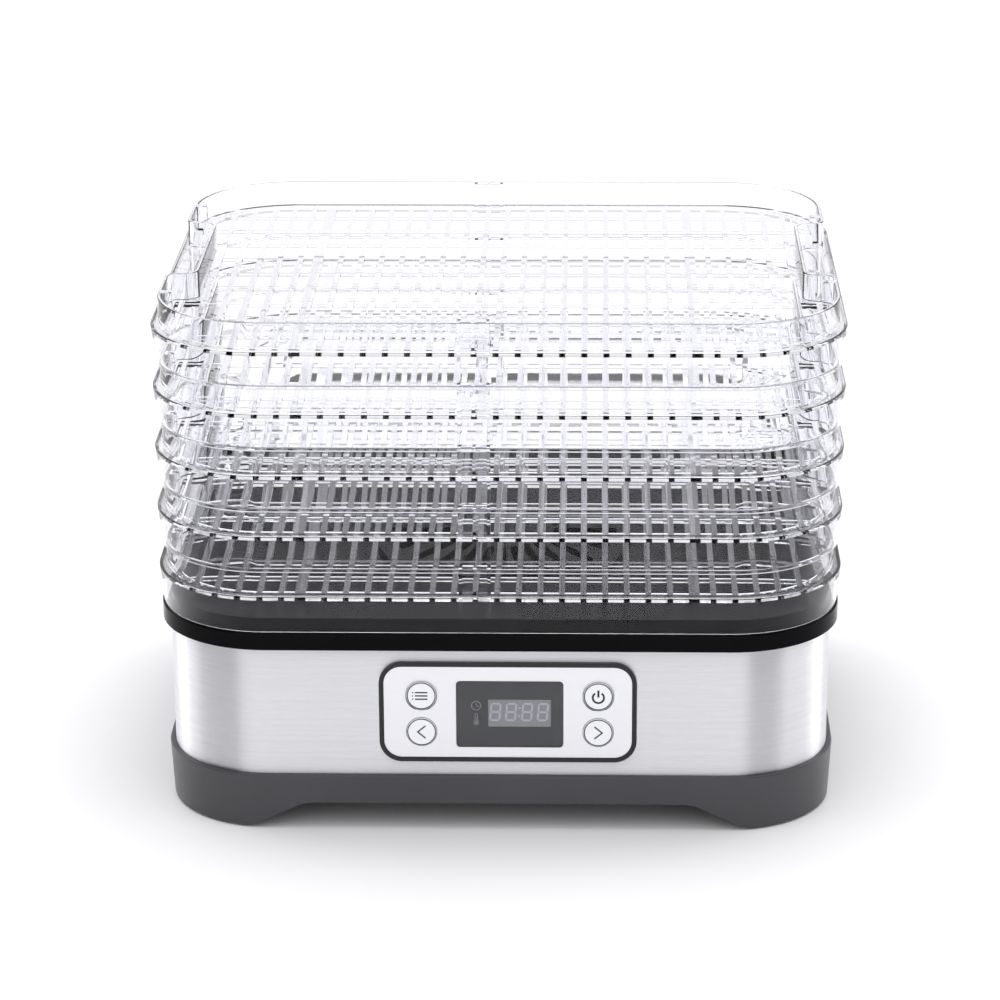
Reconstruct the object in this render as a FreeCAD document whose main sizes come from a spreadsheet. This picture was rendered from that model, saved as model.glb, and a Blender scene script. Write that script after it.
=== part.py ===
import FreeCAD, Part
import math
import os
import re
import Sketcher

# A food dehydrator with five stacking clear trays on a heater base.
# Millimetres. +Z is up, -Y is the front with the control panel, and the origin is on the
# surface it stands on, under the middle of the trays.

DIMENSIONS = [
    # trays
    ("tray_width", 333.0, "over the skirt, left to right"),
    ("tray_depth", 270.0, "over the skirt, front to back"),
    ("corner_radius", 55.0, "plan corner of the skirt"),
    ("tray_height", 32.0, "skirt bottom to rim"),
    ("nest_lap", 1.6, "how far a rim reaches up inside the next skirt"),
    ("tray_pitch", "tray_height - nest_lap", "rise from one tray to the next"),
    ("ledge_height", 18.7, "skirt bottom to the ledge"),
    ("skirt_draft", 1.8, "how far each side of the skirt leans in"),
    ("skirt_wall", 1.6, "skirt thickness"),
    ("tray_wall", 1.8, "upper wall thickness"),
    ("wall_inset", 3.9, "ledge width outside the upper wall"),
    ("floor_thickness", 2.2, "tray floor and its bars"),
    ("window_margin", 1.5, "solid border inside the upper wall"),
    ("grid_border", 1.5, "frame round the floor bars"),
    ("grip_depth", 14.0, "how far the side wall steps in for the fingers"),
    ("grip_half", 47.0, "half the length of that step"),
    ("grip_radius", 6.0, "corners of that step"),
    ("bar_pitch", 10.3, "floor bars, front to back"),
    ("bar_width", 2.8, "floor bars, front to back"),
    (
        "bar_count",
        "2 * floor((tray_width / 2 - wall_inset - tray_wall - window_margin) / bar_pitch) + 1",
        "floor bars, front to back",
    ),
    ("wide_bar_x", 94.0, "middle of each wide floor bar"),
    ("wide_bar_width", 5.0, "wide floor bar"),
    ("cross_pitch", 27.0, "floor bars, left to right"),
    ("cross_width", 2.4, "floor bars, left to right"),
    ("cross_recess", 0.4, "how far these lie inside the other bars, above and below"),
    (
        "cross_count",
        "2 * floor((tray_depth / 2 - wall_inset - tray_wall - window_margin) / cross_pitch) + 1",
        "floor bars, left to right",
    ),
    ("boss_x", -10.5, "middle of the front and back bosses"),
    ("boss_width", 15.2, "front and back bosses"),
    ("boss_depth", 5.0, "bosses and posts, inwards from the wall"),
    ("boss_wall", 1.6, "boss walls"),
    ("post_width", 5.5, "side posts"),
    ("post_gap", 13.0, "grip step to the right posts"),
    ("post_y_right", "grip_half + post_gap", "right posts, front and back of the middle"),
    ("post_y_left", "tray_depth / 2 - corner_radius", "left posts, front and back of the middle"),
    ("rib_width", 1.6, "hanging ribs"),
    ("rib_depth", 2.5, "hanging ribs"),
    ("shoulder_round", 0.9, "rounded edge of the ledge"),
    ("rim_round", 0.5, "rounded edges of the rim"),
    ("lip_round", 0.4, "rounded edges of the skirt's bottom"),
    ("slide_clearance", 0.3, "between pieces that lift apart"),
    # heater base
    ("foot_gap", 1.2, "surface to the underside of the feet"),
    ("arch_height", 14.0, "surface to the underside of the base"),
    ("arch_run", 26.0, "length of the curve down to a foot"),
    ("arch_radius", 20.0, "curves of the arches"),
    ("base_inset", 2.15, "skirt outside to the pan's rim"),
    ("base_width", "tray_width - 2 * base_inset", "base pan at its rim"),
    ("base_depth", "tray_depth - 2 * base_inset", "base pan at its rim"),
    ("front_foot", 70.35, "pan's side to the flat of the front arch"),
    ("front_arch_half", "base_width / 2 - front_foot", "half the flat of the front arch"),
    ("side_foot", 82.85, "pan's front to the flat of the side arch"),
    ("side_arch_half", "base_depth / 2 - side_foot", "half the flat of the side arch"),
    ("base_draft", 1.5, "how far the pan leans in at the bottom"),
    ("pan_floor", 2.5, "pan floor thickness"),
    ("seat_rise", 10.5, "arch to where the steel shell stands in the pan"),
    ("pan_seat", "arch_height + seat_rise", "where the steel shell stands in the pan"),
    ("rim_lap", 4.3, "how far the pan's rim reaches up the shell"),
    ("base_rim_top", "pan_seat + rim_lap", "top of the pan's rim"),
    ("pan_ledge", 2.2, "ledge under the shell, inwards"),
    ("foot_wall", 2.5, "bottom of each hollow foot"),
    ("foot_margin", 4.0, "hollow of a foot beyond its pad"),
    ("foot_corner", 20.0, "outer corner of the hollow of a foot"),
    ("pad_side", 26.35, "pan's side to the middle of a pad"),
    ("pad_x", "base_width / 2 - pad_side", "rubber pads"),
    ("pad_front", 28.85, "pan's front to the middle of a pad"),
    ("pad_y", "base_depth / 2 - pad_front", "rubber pads"),
    ("pad_radius", 9.0, "rubber pads"),
    ("pad_recess", 1.0, "depth the pads are let into the feet"),
    ("shell_inset", 5.0, "skirt outside to the steel shell"),
    ("shell_width", "tray_width - 2 * shell_inset", "steel shell"),
    ("shell_depth", "tray_depth - 2 * shell_inset", "steel shell"),
    ("shell_wall", 0.8, "steel shell"),
    ("shell_height", 69.9, "steel shell"),
    ("shell_top", "pan_seat + shell_height", "top edge of the steel shell"),
    ("ring_inset", 1.0, "skirt outside to the black ring"),
    ("ring_width", "tray_width - 2 * ring_inset", "black ring over the shell"),
    ("ring_depth", "tray_depth - 2 * ring_inset", "black ring over the shell"),
    ("ring_height", 8.8, "black ring over the shell"),
    ("ring_top", "shell_top + ring_height", "where the lowest skirt rests"),
    ("ring_round", 1.0, "rounded edges of the ring"),
    ("ridge_inset", 5.0, "skirt outside to ridge outside"),
    ("ridge_height", 6.5, "locating ridge over the ring"),
    ("ridge_top", "ring_top + ridge_height", "top of the locating ridge"),
    ("ridge_wall", 2.0, "locating ridge"),
    ("deck_thickness", 2.5, "deck under the trays"),
    ("flange_drop", 6.0, "flange inside the shell"),
    ("flange_wall", 2.0, "flange inside the shell"),
    ("fit_gap", 0.3, "loose fit between fixed pieces"),
    ("screw_x", 75.0, "housing screws"),
    ("screw_edge", 27.0, "shell's front to the housing screws"),
    ("screw_y", "shell_depth / 2 - screw_edge", "housing screws"),
    ("screw_boss_radius", 5.5, "bosses for the housing screws"),
    ("screw_boss_height", 23.5, "pan floor to where the bosses meet"),
    ("screw_boss_top", "arch_height + pan_floor + screw_boss_height", "where pan boss and deck boss meet"),
    ("screw_well_radius", 4.0, "well under each pan boss"),
    ("screw_well_roof", 1.0, "top of the well over the pan floor's underside and floor"),
    ("housing_screw", 1.8, "housing screw radius"),
    ("housing_screw_length", 20.0, "depth of the holes that the housing screws bite into"),
    ("small_screw", 1.2, "radius of the other screws"),
    # airflow
    ("duct_radius", 60.0, "inside of the fan duct"),
    ("duct_wall", 2.0, "fan duct"),
    ("duct_foot", 12.0, "how far the duct's foot reaches beyond its bore"),
    ("duct_flange_radius", "duct_radius + duct_foot", "foot of the fan duct"),
    ("intake_inset", 3.0, "duct bore to the hole in the pan floor"),
    ("intake_radius", "duct_radius - intake_inset", "hole in the pan floor"),
    ("outlet_margin", 0.5, "duct outside to the hole in the deck"),
    ("outlet_radius", "duct_radius + duct_wall + outlet_margin", "hole in the deck"),
    ("grille_flange", 4.5, "how far each grille laps its hole"),
    ("grille_thickness", 1.5, "grille flanges"),
    ("slot_inner", 25.0, "inner end of the grille slots"),
    ("intake_slot_width", 3.4, "intake slots"),
    ("outlet_slot_width", 4.2, "outlet slots"),
    ("slot_count", 28, "slots in each grille"),
    ("bracket_rise", 31.5, "pan floor to the motor bracket"),
    ("bracket_z", "arch_height + pan_floor + bracket_rise", "underside of the motor bracket"),
    ("bracket_thickness", 3.0, "motor bracket"),
    ("bracket_hub", 18.0, "motor bracket hub radius"),
    ("arm_width", 9.0, "motor bracket arms"),
    (
        "duct_screw_radius",
        "(duct_radius + duct_wall + fit_gap + duct_flange_radius) / 2",
        "screws through the duct's foot",
    ),
    ("ledge_drop", 6.0, "height of the ledges inside the duct"),
    ("ledge_block", 10.0, "width of the ledges inside the duct"),
    ("bracket_ledge", 6.0, "how far the motor bracket's ledges stand in"),
    ("arm_screw_radius", "duct_radius - bracket_ledge / 2", "screws through the arms"),
    ("heater_ledge", 3.0, "how far the heater's ledges stand in"),
    ("motor_radius", 16.0, "motor can"),
    ("motor_length", 26.0, "motor can"),
    ("motor_wall", 1.2, "motor can"),
    ("bearing_radius", 3.5, "outside of the bearings"),
    ("bearing_length", 3.0, "bearings"),
    ("shaft_radius", 1.5, "fan shaft"),
    ("shaft_clearance", 0.05, "running fit of the shaft, radial"),
    ("rotor_radius", 9.0, "motor rotor"),
    ("rotor_gap", 0.6, "rotor to stator"),
    ("motor_screw_radius", 10.0, "screws into the motor can"),
    ("fan_rise", 6.0, "motor bracket to the fan blades"),
    ("fan_z", "bracket_z + bracket_thickness + fan_rise", "underside of the fan blades"),
    ("fan_height", 12.0, "fan hub height"),
    ("fan_hub_radius", 12.0, "fan hub"),
    ("fan_tip_gap", 6.0, "blade tips to the duct"),
    ("fan_radius", "duct_radius - fan_tip_gap", "fan blade tips"),
    ("blade_count", 7, "fan blades"),
    ("blade_root", 2.0, "depth of a blade's root in the hub"),
    ("blade_chord", 15.0, "fan blade width seen from above"),
    ("blade_rise", 11.0, "fan blade height"),
    ("blade_skin", 1.6, "fan blade and hub thickness"),
    ("heater_height", 18.0, "heater cross"),
    ("heater_drop", 6.3, "deck to the top of the heater cross"),
    (
        "heater_z",
        "ring_top + nest_lap - deck_thickness - heater_drop - heater_height",
        "underside of the heater cross",
    ),
    ("heater_sheet", 1.2, "heater cross"),
    ("coil_radius", 2.0, "outside of the heating coil"),
    ("coil_inner", 22.0, "innermost heating ring"),
    ("coil_step", 12.0, "from one heating ring to the next"),
    ("cutoff_radius", 2.8, "thermal cutoff"),
    ("cutoff_start", 3.0, "thermal cutoff, beyond the innermost heating ring"),
    ("probe_radius", 2.0, "temperature sensor"),
    ("probe_y", 20.0, "temperature sensor"),
    ("probe_rise", 12.0, "heater cross to the temperature sensor"),
    ("probe_z", "heater_z + probe_rise", "temperature sensor"),
    ("probe_reach", 10.0, "sensor inside the duct"),
    # electronics
    ("board_thickness", 1.6, "circuit boards"),
    ("power_y", 5.0, "middle of the power board"),
    ("power_width", 62.0, "power board"),
    ("power_side", 16.5, "shell to the power board's edge"),
    ("power_x", "-(shell_width / 2 - power_side - power_width / 2)", "middle of the power board"),
    ("power_depth", 96.0, "power board"),
    ("power_rise", 7.5, "pan floor to the power board"),
    ("power_z", "arch_height + pan_floor + power_rise", "underside of the power board"),
    ("transformer_width", 30.0, "transformer"),
    ("transformer_depth", 26.0, "transformer"),
    ("transformer_height", 22.0, "transformer"),
    ("transformer_x", -8.0, "transformer, from the board's middle"),
    ("transformer_y", 22.0, "transformer, from the board's middle"),
    ("capacitor_radius", 7.0, "capacitor"),
    ("capacitor_height", 20.0, "capacitor"),
    ("capacitor_x", 17.0, "capacitor, from the board's middle"),
    ("capacitor_y", 28.0, "capacitor, from the board's middle"),
    ("relay_width", 16.0, "relay"),
    ("relay_depth", 20.0, "relay"),
    ("relay_height", 15.0, "relay"),
    ("relay_x", 16.0, "relay, from the board's middle"),
    ("relay_y", -2.0, "relay, from the board's middle"),
    ("heat_sink_width", 6.0, "heat sink"),
    ("heat_sink_depth", 28.0, "heat sink"),
    ("heat_sink_height", 24.0, "heat sink"),
    ("heat_sink_x", -18.0, "heat sink, from the board's middle"),
    ("heat_sink_y", -14.0, "heat sink, from the board's middle"),
    ("terminal_width", 30.0, "terminal block"),
    ("terminal_depth", 9.0, "terminal block"),
    ("terminal_height", 12.0, "terminal block"),
    ("terminal_x", -2.0, "terminal block, from the board's middle"),
    ("terminal_y", -38.0, "terminal block, from the board's middle"),
    ("board_inset", 4.0, "board edge to screw"),
    ("board_screw_length", 6.0, "depth of the holes under the boards"),
    ("gland_margin", 11.5, "end of the shell's corner to the cable gland"),
    (
        "gland_x",
        "-(shell_width / 2 - (corner_radius - shell_inset) - gland_margin)",
        "cable gland",
    ),
    ("gland_rise", 21.5, "shell's lower edge to the cable gland"),
    ("gland_z", "pan_seat + gland_rise", "cable gland"),
    ("gland_radius", 7.8, "gland body"),
    ("gland_bore", 3.5, "gland bore"),
    ("gland_flange", 10.5, "gland flange and nut"),
    ("gland_length", 8.0, "gland behind the shell's face"),
    ("gland_proud", 3.0, "gland outside the shell"),
    ("gland_bevel", 1.0, "bevel of the gland's flange"),
    ("gland_nut_length", 4.0, "gland nut"),
    # control panel
    ("panel_x", 5.0, "middle of the panel"),
    ("panel_rise", 37.3, "shell's lower edge to the middle of the panel"),
    ("panel_z", "pan_seat + panel_rise", "middle of the panel"),
    ("bezel_width", 124.0, "bezel"),
    ("bezel_height", 51.5, "bezel"),
    ("bezel_radius", 11.0, "bezel corners"),
    ("bezel_frame", 2.2, "visible width of the bezel"),
    ("bezel_proud", 1.8, "how far the bezel stands off the shell"),
    ("bezel_wall", 1.0, "bezel behind the shell"),
    ("bezel_depth", 6.0, "bezel behind the shell"),
    ("bezel_ledge", 1.8, "ledge that carries the plate"),
    ("board_post", 3.0, "posts that carry the control board"),
    ("board_post_inset", 7.0, "bezel edge to post"),
    ("lens_proud", 0.2, "how far the lens stands off the plate"),
    ("plate_recess", 0.3, "bezel front to plate front"),
    ("plate_thickness", 2.0, "panel plate"),
    ("lens_side", 0.9, "display lens, right of the panel's middle"),
    ("lens_x", "panel_x + lens_side", "middle of the display lens"),
    ("lens_rise", -1.0, "display lens, over the panel's middle"),
    ("lens_z", "panel_z + lens_rise", "middle of the display lens"),
    ("lens_width", 51.4, "display lens"),
    ("lens_height", 34.2, "display lens"),
    ("lens_radius", 2.0, "display lens corners"),
    ("led_side", 4.7, "digits, right of the lens's middle"),
    ("led_x", "lens_x + led_side", "middle of the digits"),
    ("led_z", "lens_z", "middle of the digits"),
    ("led_width", 30.1, "four-digit module"),
    ("led_height", 14.0, "four-digit module"),
    ("button_radius", 7.25, "buttons"),
    ("button_edge_left", 20.4, "bezel to the left buttons"),
    ("button_left_x", "panel_x - (bezel_width / 2 - button_edge_left)", "left buttons"),
    ("button_edge_right", 18.5, "bezel to the right buttons"),
    ("button_right_x", "panel_x + (bezel_width / 2 - button_edge_right)", "right buttons"),
    ("button_edge_top", 17.15, "bezel to the upper buttons"),
    ("button_upper_z", "panel_z + (bezel_height / 2 - button_edge_top)", "upper buttons"),
    ("button_edge_bottom", 15.55, "bezel to the lower buttons"),
    ("button_lower_z", "panel_z - (bezel_height / 2 - button_edge_bottom)", "lower buttons"),
    ("button_proud", 0.6, "how far a button stands off the plate"),
    ("button_travel", 0.8, "button press"),
    ("button_flange", 1.1, "button flange, wider and as thick"),
    ("stem_radius", 2.0, "button stem"),
    ("control_back", 15.4, "shell's front to the control board"),
    ("control_y", "-(shell_depth / 2 - control_back)", "front face of the control board"),
    ("switch_size", 6.0, "push switches"),
    ("switch_height", 3.5, "push switches"),
    ("plunger_height", 1.5, "push switch plungers"),
]

HALF_TURN = 180.0
REACH = 5.0  # how far a cutting outline runs past what it cuts

doc = FreeCAD.newDocument("food_dehydrator")
sizes = doc.addObject("Spreadsheet::Sheet", "sizes")
for row, (alias, size, note) in enumerate(DIMENSIONS, 1):
    sizes.set(f"A{row}", note)
    sizes.setAlias(f"B{row}", alias)
for row, (alias, size, note) in enumerate(DIMENSIONS, 1):
    sizes.set(f"B{row}", f"={size}")
doc.recompute()

NAMES = {alias for alias, size, note in DIMENSIONS}
nodes = []


# ---------------------------------------------------------------- helpers


def bound(text):
    """An expression for another object, from one written with the sheet's aliases."""
    return re.sub(r"[a-z_]+", lambda m: f"sizes.{m[0]}" if m[0] in NAMES else m[0], text)


def number(text):
    result = sizes.evalExpression(text)
    return float(getattr(result, "Value", result))


def node(thing, name):
    """Marks an object as one finished piece, to be written under this name."""
    thing.Label = name
    nodes.append(thing)
    return thing


def new_body(name):
    thing = doc.addObject("PartDesign::Body", name)
    thing.Label = name
    return thing


def origin_part(body, role):
    return next(part for part in body.Origin.OriginFeatures if part.Role == role)


def new_sketch(body, name, role="XY_Plane", offset="0"):
    """A sketch on a plane of the body's origin. An offset on XZ_Plane counts towards -Y."""
    sketch = body.newObject("Sketcher::SketchObject", f"{body.Name}_{name}")
    sketch.AttachmentSupport = [(origin_part(body, role), "")]
    sketch.MapMode = "FlatFace"
    sketch.setExpression("AttachmentOffset.Base.z", bound(offset))
    return sketch


def drive(sketch, kind, *places_and_text):
    """Adds a dimension and binds it to the sheet."""
    *places, text = places_and_text
    index = sketch.addConstraint(Sketcher.Constraint(kind, *places, number(text)))
    sketch.setExpression(f"Constraints[{index}]", bound(text))


def outline(sketch, corners):
    """A closed outline of straight lines through the corners (x, y) or (x, y, radius)."""
    corners = [(*corner, None)[:3] for corner in corners]
    points = [FreeCAD.Vector(number(x), number(y), 0) for x, y, radius in corners]
    radii = [number(radius) if radius else 0.0 for x, y, radius in corners]
    count = len(points)
    starts, ends, arcs = [], [], []
    for i, point in enumerate(points):
        before = (points[i - 1] - point).normalize()
        after = (points[(i + 1) % count] - point).normalize()
        half = before.getAngle(after) / 2
        trim = radii[i] / math.tan(half)
        ends.append(point + before * trim)
        starts.append(point + after * trim)
        left = before.cross(after).z < 0
        arcs.append((half, left))
    lines = []
    for i in range(count):
        line = Part.LineSegment(starts[i], ends[(i + 1) % count])
        lines.append(sketch.addGeometry(line))
    for i, (x, y, radius) in enumerate(corners):
        incoming, outgoing = lines[i - 1], lines[i]
        if not radii[i]:
            join = Sketcher.Constraint("Coincident", incoming, 2, outgoing, 1)
            sketch.addConstraint(join)
            drive(sketch, "DistanceX", -1, 1, outgoing, 1, x)
            drive(sketch, "DistanceY", -1, 1, outgoing, 1, y)
            continue
        half, left = arcs[i]
        inward = (ends[i] + starts[i]) * 0.5 - points[i]
        centre = points[i] + inward.normalize() * (radii[i] / math.sin(half))
        first, last = (ends[i], starts[i]) if left else (starts[i], ends[i])
        turn = [math.atan2(p.y - centre.y, p.x - centre.x) for p in (first, last)]
        circle = Part.Circle(centre, FreeCAD.Vector(0, 0, 1), radii[i])
        arc = sketch.addGeometry(Part.ArcOfCircle(circle, *turn))
        corner = sketch.addGeometry(Part.Point(points[i]), True)
        arc_in, arc_out = (1, 2) if left else (2, 1)
        sketch.addConstraint(
            [
                Sketcher.Constraint("PointOnObject", corner, 1, incoming),
                Sketcher.Constraint("PointOnObject", corner, 1, outgoing),
                Sketcher.Constraint("Tangent", incoming, 2, arc, arc_in),
                Sketcher.Constraint("Tangent", arc, arc_out, outgoing, 1),
            ]
        )
        drive(sketch, "DistanceX", -1, 1, corner, 1, x)
        drive(sketch, "DistanceY", -1, 1, corner, 1, y)
        drive(sketch, "Radius", arc, radius)


def rectangle(sketch, x, y, width, height, radius=None):
    """A rectangle about (x, y), with rounded corners when a radius is given."""
    low_x, high_x = f"{x} - ({width}) / 2", f"{x} + ({width}) / 2"
    low_y, high_y = f"{y} - ({height}) / 2", f"{y} + ({height}) / 2"
    corners = [(low_x, low_y), (high_x, low_y), (high_x, high_y), (low_x, high_y)]
    outline(sketch, [(*corner, radius) for corner in corners])


def circle(sketch, x, y, radius):
    centre = FreeCAD.Vector(number(x), number(y), 0)
    up = FreeCAD.Vector(0, 0, 1)
    index = sketch.addGeometry(Part.Circle(centre, up, number(radius)))
    drive(sketch, "DistanceX", -1, 1, index, 3, x)
    drive(sketch, "DistanceY", -1, 1, index, 3, y)
    drive(sketch, "Radius", index, radius)


def extrude(kind, sketch, length, other_way=False, taper=None):
    body = sketch.getParentGeoFeatureGroup()
    feature = body.newObject(f"PartDesign::{kind}", f"{sketch.Name}_{kind.lower()}")
    feature.Profile = sketch
    feature.Reversed = other_way
    feature.setExpression("Length", bound(length))
    if taper:
        feature.setExpression("TaperAngle", bound(taper))
    return feature


def pad(sketch, length, other_way=False, taper=None):
    """Adds material along the sketch's normal, or against it."""
    return extrude("Pad", sketch, length, other_way, taper)


def pocket(sketch, length, other_way=False, taper=None):
    """Removes material against the sketch's normal, or along it, and proves that it did."""
    body = sketch.getParentGeoFeatureGroup()
    doc.recompute()
    before = body.Shape.Volume
    feature = extrude("Pocket", sketch, length, other_way, taper)
    doc.recompute()
    if not body.Shape.Volume < before:
        raise ValueError(f"{feature.Name} removes nothing")
    return feature


def revolve(sketch):
    body = sketch.getParentGeoFeatureGroup()
    feature = body.newObject("PartDesign::Revolution", f"{sketch.Name}_revolution")
    feature.Profile = sketch
    feature.ReferenceAxis = (sketch, ["V_Axis"])
    feature.Angle = 2 * HALF_TURN
    return feature


def pattern_row(body, feature, role, pitch, count):
    row = body.newObject("PartDesign::LinearPattern", f"{feature.Name}_row")
    row.Originals = [feature]
    row.Direction = (origin_part(body, role), [""])
    row.setExpression("Length", bound(f"({pitch}) * ({count} - 1)"))
    row.setExpression("Occurrences", bound(count))
    body.Tip = row
    return row


def pattern_round(body, feature, count):
    ring = body.newObject("PartDesign::PolarPattern", f"{feature.Name}_ring")
    ring.Originals = [feature]
    ring.Axis = (origin_part(body, "Z_Axis"), [""])
    ring.Angle = 2 * HALF_TURN
    ring.setExpression("Occurrences", bound(count))
    body.Tip = ring
    return ring


def round_edges(body, radius, wanted):
    """Fillets the body's edges for which wanted(edge) is true."""
    doc.recompute()
    tip = body.Tip
    names = [f"Edge{i}" for i, edge in enumerate(tip.Shape.Edges, 1) if wanted(edge)]
    fillet = body.newObject("PartDesign::Fillet", f"{tip.Name}_fillet")
    fillet.Base = (tip, names)
    fillet.setExpression("Radius", bound(radius))
    return fillet


def flat_at(height):
    """Tells the edges that lie level at this height."""
    z = number(height)
    return lambda edge: edge.BoundBox.ZMax - edge.BoundBox.ZMin < 0.01 and abs(
        edge.BoundBox.ZMax - z
    ) < 0.01


def place(thing, x, y, z, turn=None):
    thing.Placement = FreeCAD.Placement(FreeCAD.Vector(), turn or FreeCAD.Rotation())
    for axis, text in zip("xyz", (x, y, z)):
        thing.setExpression(f"Placement.Base.{axis}", bound(text))
    return thing


ALONG_Y = FreeCAD.Rotation(FreeCAD.Vector(1, 0, 0), -HALF_TURN / 2)  # a cylinder's +Z to +Y
ALONG_X = FreeCAD.Rotation(FreeCAD.Vector(0, 1, 0), HALF_TURN / 2)


def cylinder(name, radius, height, x, y, z, turn=None):
    """A cylinder whose first end is centred on (x, y, z)."""
    thing = doc.addObject("Part::Cylinder", name)
    thing.setExpression("Radius", bound(radius))
    thing.setExpression("Height", bound(height))
    return place(thing, x, y, z, turn)


def box(name, width, depth, height, x, y, z):
    """A box about (x, y) that stands on z."""
    thing = doc.addObject("Part::Box", name)
    for size, text in (("Length", width), ("Width", depth), ("Height", height)):
        thing.setExpression(size, bound(text))
    return place(thing, f"{x} - ({width}) / 2", f"{y} - ({depth}) / 2", z)


def fused(name, pieces):
    thing = doc.addObject("Part::MultiFuse", name)
    thing.Shapes = pieces
    thing.Refine = True
    return thing


def cut(name, base, tool):
    thing = doc.addObject("Part::Cut", name)
    thing.Base = base
    thing.Tool = tool
    return thing


def group(name, pieces):
    """Several separate solids that share one node."""
    thing = doc.addObject("Part::Compound", name)
    thing.Links = pieces
    return node(thing, name)


def screw(name, radius, length, x, y, z, head_side, turn=None):
    """A pan-head screw. Its head's bearing face is at (x, y, z) and head_side is 1 or -1
    along the shank's axis; the shank runs the other way. The drive is a cross."""
    head_height, head_radius = f"{radius} * 1.2", f"{radius} * 1.9"
    axis = (turn or FreeCAD.Rotation()).multVec(FreeCAD.Vector(0, 0, 1))

    def start(shift):
        return [
            f"{text} + ({shift}) * {round(part)}"
            for text, part in zip((x, y, z), (axis.x, axis.y, axis.z))
        ]

    head_start = "0" if head_side > 0 else f"-({head_height})"
    shank_start = f"-({length})" if head_side > 0 else "0"
    slot_start = f"{head_height} * 0.4" if head_side > 0 else f"-({head_height})"
    head = cylinder(f"{name}_head", head_radius, head_height, *start(head_start), turn)
    shank = cylinder(f"{name}_shank", radius, length, *start(shank_start), turn)
    slots = []
    for i, (long_side, short_side) in enumerate(((1.1, 0.3), (0.3, 1.1))):
        slot = doc.addObject("Part::Box", f"{name}_slot_{i}")
        slot.setExpression("Length", bound(f"{head_radius} * {long_side}"))
        slot.setExpression("Width", bound(f"{head_radius} * {short_side}"))
        slot.setExpression("Height", bound(f"{head_height} * 0.6"))
        middle = start(slot_start)
        side = (turn or FreeCAD.Rotation()).multVec(FreeCAD.Vector(1, 0, 0))
        other = (turn or FreeCAD.Rotation()).multVec(FreeCAD.Vector(0, 1, 0))
        shares = [round(long_side * side[k] / 2 + short_side * other[k] / 2, 3) for k in range(3)]
        corner = [f"{middle[k]} - {head_radius} * ({shares[k]})" for k in range(3)]
        slots.append(place(slot, *corner, turn))
    whole = fused(f"{name}_blank", [head, shank])
    return cut(name, whole, fused(f"{name}_drive", slots))


# ---------------------------------------------------------------- trays

FLOOR_UNDER = "ledge_height - floor_thickness"
RIB_END = "tray_height - tray_pitch"
SKIRT_TAPER = "atan(skirt_draft / ledge_height)"


def inset_rectangle(sketch, width, depth, inset, outer_inset="0"):
    """A rounded rectangle lying inset inside another whose corner follows the skirt's."""
    radius = f"corner_radius - ({outer_inset}) - ({inset})"
    rectangle(sketch, "0", "0", f"{width} - 2 * ({inset})", f"{depth} - 2 * ({inset})", radius)


def stepped_outline(sketch, inset, convex, hollow):
    """The upper wall's outline at an inset from the skirt, stepped in at both grips."""
    x, y = f"(tray_width / 2 - ({inset}))", f"(tray_depth / 2 - ({inset}))"
    step_x = f"({x} - grip_depth)"
    step_y = f"(grip_half + ({inset}) - wall_inset)"
    corner = f"corner_radius - ({inset})"
    right = [
        (x, f"-{y}", corner),
        (x, f"-{step_y}", convex),
        (step_x, f"-{step_y}", hollow),
        (step_x, step_y, hollow),
        (x, step_y, convex),
        (x, y, corner),
    ]
    left = [(f"-{a}", b[1:] if b.startswith("-") else f"-{b}", r) for a, b, r in right]
    outline(sketch, right + left)


WALL_INNER = "wall_inset + tray_wall"
WINDOW = "wall_inset + tray_wall + window_margin"


def support_places():
    """Each support on the wall: its middle on the wall's inner face, its width, and the
    direction inwards. The four sides differ, so a tray turned half round nests lower."""
    inner_x = f"(tray_width / 2 - ({WALL_INNER}))"
    inner_y = f"(tray_depth / 2 - ({WALL_INNER}))"
    return [
        ("boss_x", f"-{inner_y}", "boss_width", (0, 1)),
        ("boss_x", inner_y, "boss_width", (0, -1)),
        (inner_x, "-post_y_right", "post_width", (-1, 0)),
        (inner_x, "post_y_right", "post_width", (-1, 0)),
        (f"-{inner_x}", "-post_y_left", "post_width", (1, 0)),
        (f"-{inner_x}", "post_y_left", "post_width", (1, 0)),
    ]


def support_rectangle(sketch, support, start, end, side="0", width=None):
    """A rectangle from start to end inwards of the wall, shifted sideways along it."""
    x, y, whole, (dx, dy) = support
    middle, length = f"(({start}) + ({end})) / 2", f"(({end}) - ({start}))"
    width = width or whole
    if dx:
        rectangle(sketch, f"{x} + ({dx}) * {middle}", f"{y} + ({side})", length, width)
    else:
        rectangle(sketch, f"{x} + ({side})", f"{y} + ({dy}) * {middle}", width, length)


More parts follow.
